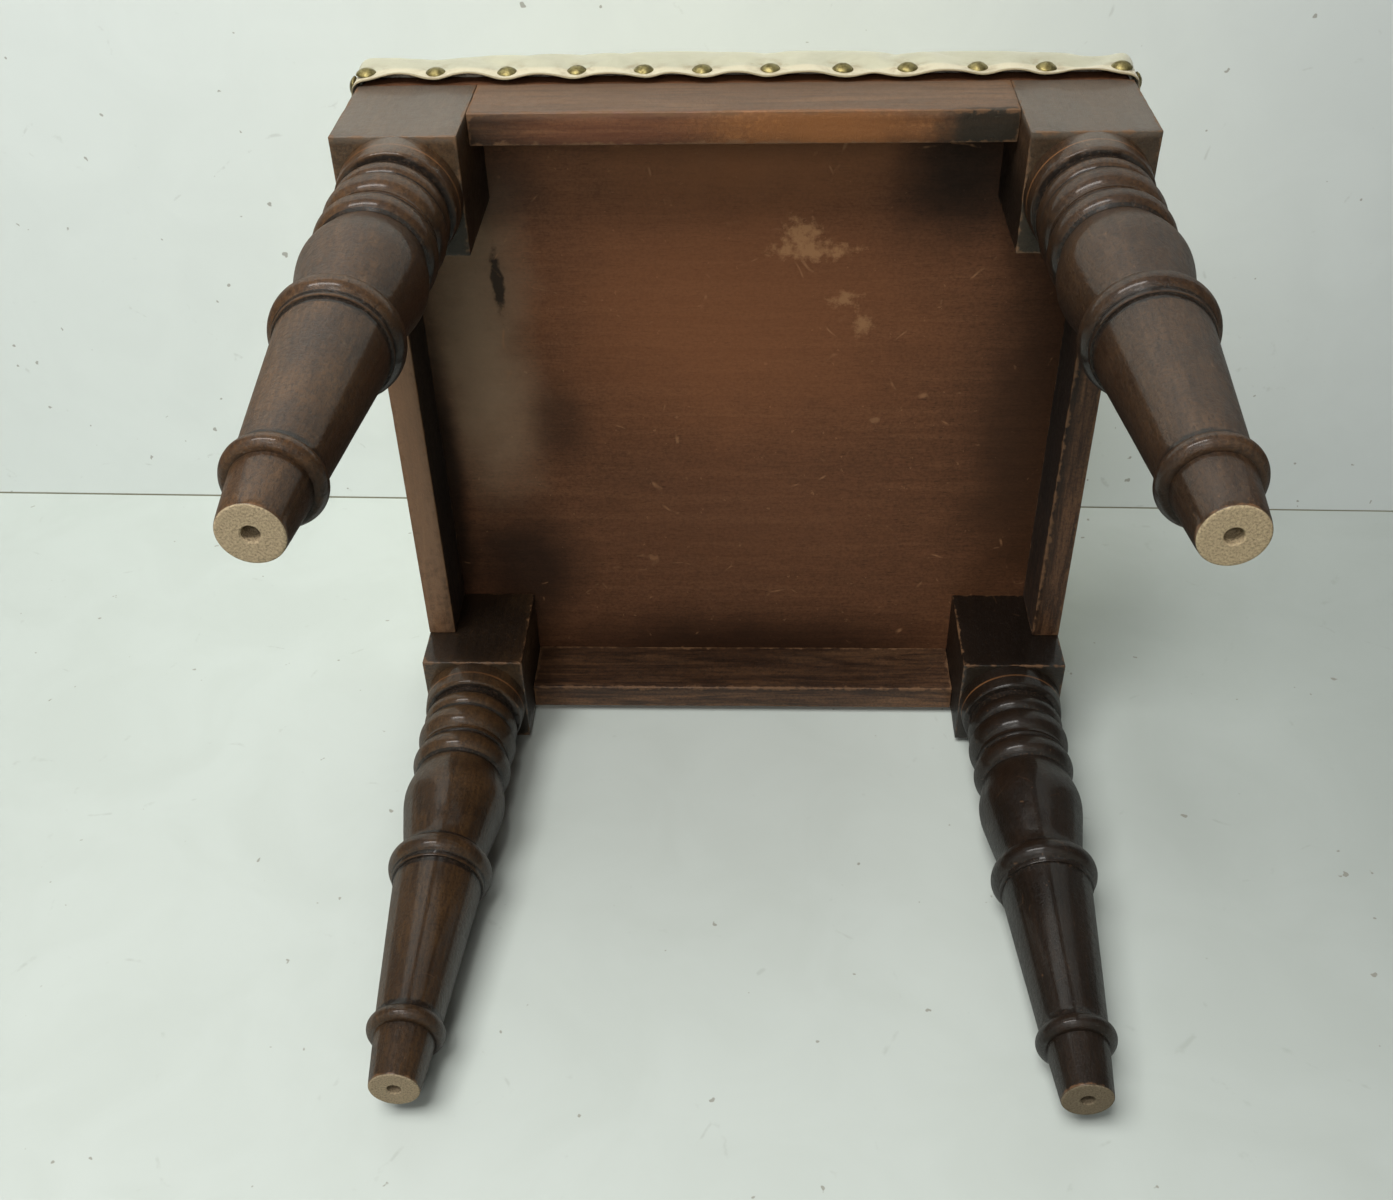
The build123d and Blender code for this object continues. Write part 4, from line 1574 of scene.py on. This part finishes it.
    def camera(self) -> None:
        """Place the camera."""
        data = bpy.data.cameras.new("camera")
        data.lens = self.lens
        data.sensor_width = self.sensor
        ahead = (Vector(self.aim) - Vector(self.eye)).normalized()
        right = ahead.cross(Vector((0.0, -1.0, 0.0))).normalized()
        up = right.cross(ahead)
        turn = Matrix.Rotation(math.radians(self.roll), 3, ahead)
        right, up = turn @ right, turn @ up
        camera = bpy.data.objects.new("camera", data)
        camera.matrix_world = Matrix.Translation(self.eye) @ Matrix((right, up, -ahead)).transposed().to_4x4()
        bpy.context.scene.collection.objects.link(camera)
        bpy.context.scene.camera = camera

    def build(self, effects: Effects) -> None:
        """Set up everything round the bench.

        Args:
            effects: The shared effects.
        """
        self.backdrop(effects)
        self.light()
        self.camera()
        bpy.context.scene.view_settings.view_transform = "Standard"


# ---------------------------------------------------------------------------
# the bench's own finishes
# ---------------------------------------------------------------------------


def leg_finish(corner: str) -> Wood:
    """Dark varnish of one leg, with painted shade: its tints are darker on the legs that lie more in shade.

    Args:
        corner: The leg's corner.

    Returns:
        The finish.
    """
    # Painted shade: the one stain is set lighter or darker per leg by how much light it gets, the back right
    # darkest, raw feet included.
    stain_and_shade_tints = {
        "front_left": (tint(48, 32, 20), tint(62, 43, 28), tint(100, 72, 44), tint(176, 158, 128)),
        "front_right": (tint(42, 28, 18), tint(54, 38, 25), tint(84, 61, 40), tint(178, 160, 128)),
        "back_left": (tint(40, 27, 16), tint(54, 38, 23), tint(88, 64, 39), tint(156, 140, 114)),
        "back_right": (tint(17, 11, 7), tint(25, 17, 10), tint(42, 29, 18), tint(118, 106, 86)),
    }
    low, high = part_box(f"leg_{corner}")
    outer = ((low.x + high.x) / 2, low.y, high.z - 40 * MM)
    under = ((low.x + high.x) / 2, (low.y + high.y) / 2, high.z - 89 * MM)
    inward = math.copysign(1.0, -low.x)
    # Painted shade: a near-black patch down the inner, floor-facing side of each leg, where it turns away from the
    # light.
    painted_shade_spot = (under[0] + 34 * MM * inward, under[1] + 26 * MM, high.z / 2)
    marks = (Patch(painted_shade_spot, (0.042, 0.06, 0.8), tint(14, 9, 5), 0.95, 0.3, 20.0, 0.8),
             Patch(under, (0.09, 0.09, 0.001), tint(112, 76, 46), 0.75, 0.6, 60.0, 0.5),)
    if corner.startswith("back"):
        # Painted shade: the back blocks' front faces turn near-black, as in the shadow of the front rail and board.
        marks += (Patch(outer, (0.07, 0.012, 0.08), tint(14, 9, 6), 0.85, 0.3),)
    else:
        # Painted sheen: a greyish film on the front blocks' front faces stands in for their reflection of the
        # bright room.
        marks += (Patch(outer, (0.09, 0.006, 0.09), tint(112, 104, 94), 0.5, 0.4, 40.0),)
    dark, middle, light, raw = stain_and_shade_tints[corner]
    raw_dark = (*(0.5 * part for part in raw[:3]), 1.0)
    return Wood(f"leg varnish {corner}", dark, middle, light, GrainWay.ALONG_Z, raw=raw,
                raw_dark=raw_dark, roughness=0.42, coat=0.55, coat_roughness=0.14, specular=0.15,
                grime_amount=1.5, rim_dullness=0.1, wear_reach=0.22, figure=0.3, mottle=0.6, crackle=0.45, bump=0.4,
                patches=marks)


def rail_finish(side: str) -> Wood:
    """Stain of one rail with its own marks, partly painted shade on its inner face and, on the front rail, painted
    sheen on its outer face.

    Args:
        side: The rail's side.

    Returns:
        The finish.
    """
    low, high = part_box(f"rail_{side}")
    middle = (low + high) / 2
    way = GrainWay.ALONG_X if side in ("front", "back") else GrainWay.ALONG_Y
    inner = {"front": (0.0, high.y), "back": (0.0, low.y), "left": (high.x, 0.0), "right": (low.x, 0.0)}
    reach = (0.4, 0.009, 0.1) if way is GrainWay.ALONG_X else (0.009, 0.4, 0.1)
    shade = 0.6 if side == "back" else 0.92
    # Partly a darker stain, partly painted shade: the inner face of each rail is darkened, less on the back rail.
    marks = (Patch((*inner[side], middle.z), reach, tint(14, 8, 5), shade, 0.5, 60.0, 0.9),)
    if side == "left":
        marks += (Patch((middle.x, 0.0, low.z), (0.03, 0.3, 0.002), tint(132, 102, 76), 0.55, 1.2, 160.0, 0.8),)
    if side == "front":
        # The first of these patches is a painted sheen: a greyish film on the front rail's outer face stands in for
        # its reflection of the room.
        marks += (Patch((0.0, low.y, middle.z), (0.5, 0.006, 0.09), tint(112, 94, 78), 0.5, 0.5, 40.0),
                  Patch((-0.07, middle.y, low.z), (0.1, 0.03, 0.004), tint(112, 66, 42), 0.5, 0.6, 30.0, 0.9),
                  Patch((0.04, middle.y, low.z), (0.1, 0.03, 0.004), tint(160, 104, 54), 0.7, 0.7, 40.0, 0.9),
                  Patch((0.05, middle.y, low.z), (0.09, 0.03, 0.004), tint(84, 50, 28), 0.4, 2.0, 380.0, 0.6),
                  Patch((-0.175, middle.y, low.z), (0.07, 0.03, 0.006), tint(44, 34, 26), 0.75, 0.7, 60.0, 0.9),
                  Patch((0.145, middle.y, low.z), (0.042, 0.03, 0.006), tint(34, 30, 22), 0.9, 0.7, 90.0, 0.6))
    return Wood(f"rail stain {side}", tint(50, 32, 20), tint(88, 60, 40), tint(120, 86, 58), way,
                roughness=0.46, coat=0.12, specular=0.25, wear_reach=0.36, crackle=0.4, patches=marks)


def board_finish() -> Wood:
    """Stain of the board, with the marks on its underside, among them painted shade along the left and back rails,
    painted light towards the front rail and painted sheen at its left.

    Returns:
        The finish.
    """
    low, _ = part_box("seat_board")
    face = low.z
    deep = 0.05

    def mark(x: float, y: float, across: float, along: float, colour: Tint, strength: float,
             ragged_by: float = 0.5, fineness: float = 30.0, softness: float = 0.8) -> Patch:
        """A patch on the underside, in millimetres from its middle."""
        return Patch((x * MM, y * MM, face), (across * MM, along * MM, deep), colour, strength,
                     ragged_by, fineness, softness)

    marks = (
        # Partly the board's redder stain, partly painted light: a lighter patch across the middle towards the
        # front.
        mark(-5, -80, 200, 150, tint(120, 76, 47), 0.55),
        mark(0, 90, 160, 90, tint(100, 64, 42), 0.3),
        # Partly the board's redder stain, partly painted light: a lighter band along the front rail.
        mark(0, -195, 190, 60, tint(122, 80, 50), 0.6),
        # Painted sheen: a pale greyish patch near the left rail stands in for a soft reflection.
        mark(-176, -60, 56, 180, tint(148, 124, 100), 0.75, 0.9, 14.0, 1.0),
        # Painted shadow: a dark strip along the left rail, where it and the front left leg shade the board.
        mark(-208, 60, 16, 190, tint(22, 14, 8), 0.85),
        mark(205, 20, 80, 230, tint(38, 24, 13), 0.75),
        # Painted shade: a dark band along the back rail.
        mark(0, 215, 240, 60, tint(30, 18, 10), 0.8),
        mark(135, -170, 62, 62, tint(20, 15, 9), 0.85, 0.6, 22.0),
        mark(-126, 5, 30, 48, tint(44, 28, 17), 0.55),
        mark(-160, 135, 62, 80, tint(26, 16, 9), 0.8),
        mark(-155, -165, 45, 38, tint(34, 25, 17), 0.55),
        mark(-158, -100, 4.5, 28, tint(16, 12, 8), 0.85, 1.8, 120.0, 0.5),
        mark(36, -134, 14, 12, tint(158, 118, 82), 0.65, 2.8, 190.0, 0.8),
        mark(42, -121, 32, 8, tint(158, 118, 82), 0.65, 2.7, 170.0, 0.8),
        mark(66, -87, 12, 7, tint(150, 112, 78), 0.6, 3.0, 200.0, 0.8),
        mark(78, -69, 7, 10, tint(150, 112, 78), 0.6, 2.8, 200.0, 0.8),
        mark(91, 4, 4, 3, tint(140, 104, 74), 0.5, 2.0, 190.0, 0.6),
    )
    return Wood("board stain", tint(88, 57, 37), tint(96, 62, 41), tint(104, 69, 46), GrainWay.ALONG_X,
                roughness=0.6, coat=0.0, specular=0.15, grime_amount=0.0, scratch_amount=0.6, crackle=0.3,
                worn=tint(148, 108, 76), scratch_fineness=11.0, bump=0.12, patches=marks)


def main() -> None:
    """Build the bench piece by piece and report each one."""
    logging.basicConfig(level=logging.INFO, format="%(message)s")
    effects = Effects()
    for corner in ("front_left", "front_right", "back_left", "back_right"):
        TurnedLeg(corner, leg_finish(corner)).build(effects)
    for side in ("front", "back", "left", "right"):
        Rail(side, rail_finish(side)).build(effects)
    SeatBoard(board_finish()).dress(effects)
    HiddenJoinery().dress(effects)
    brass = AgedMetal("aged brass", tint(150, 138, 92), tint(96, 86, 52), tint(52, 44, 28))
    nail_material = brass.material(effects)
    rows = {side: NailRow(side) for side in Side}
    seat = PaddedSeat({side: row.centres() for side, row in rows.items()})
    seat.foam(effects)
    seat.wadding(effects)
    seat.cover(effects)
    for row in rows.values():
        row.build(nail_material)
    Studio().build(effects)


if __name__ == "__main__":
    main()
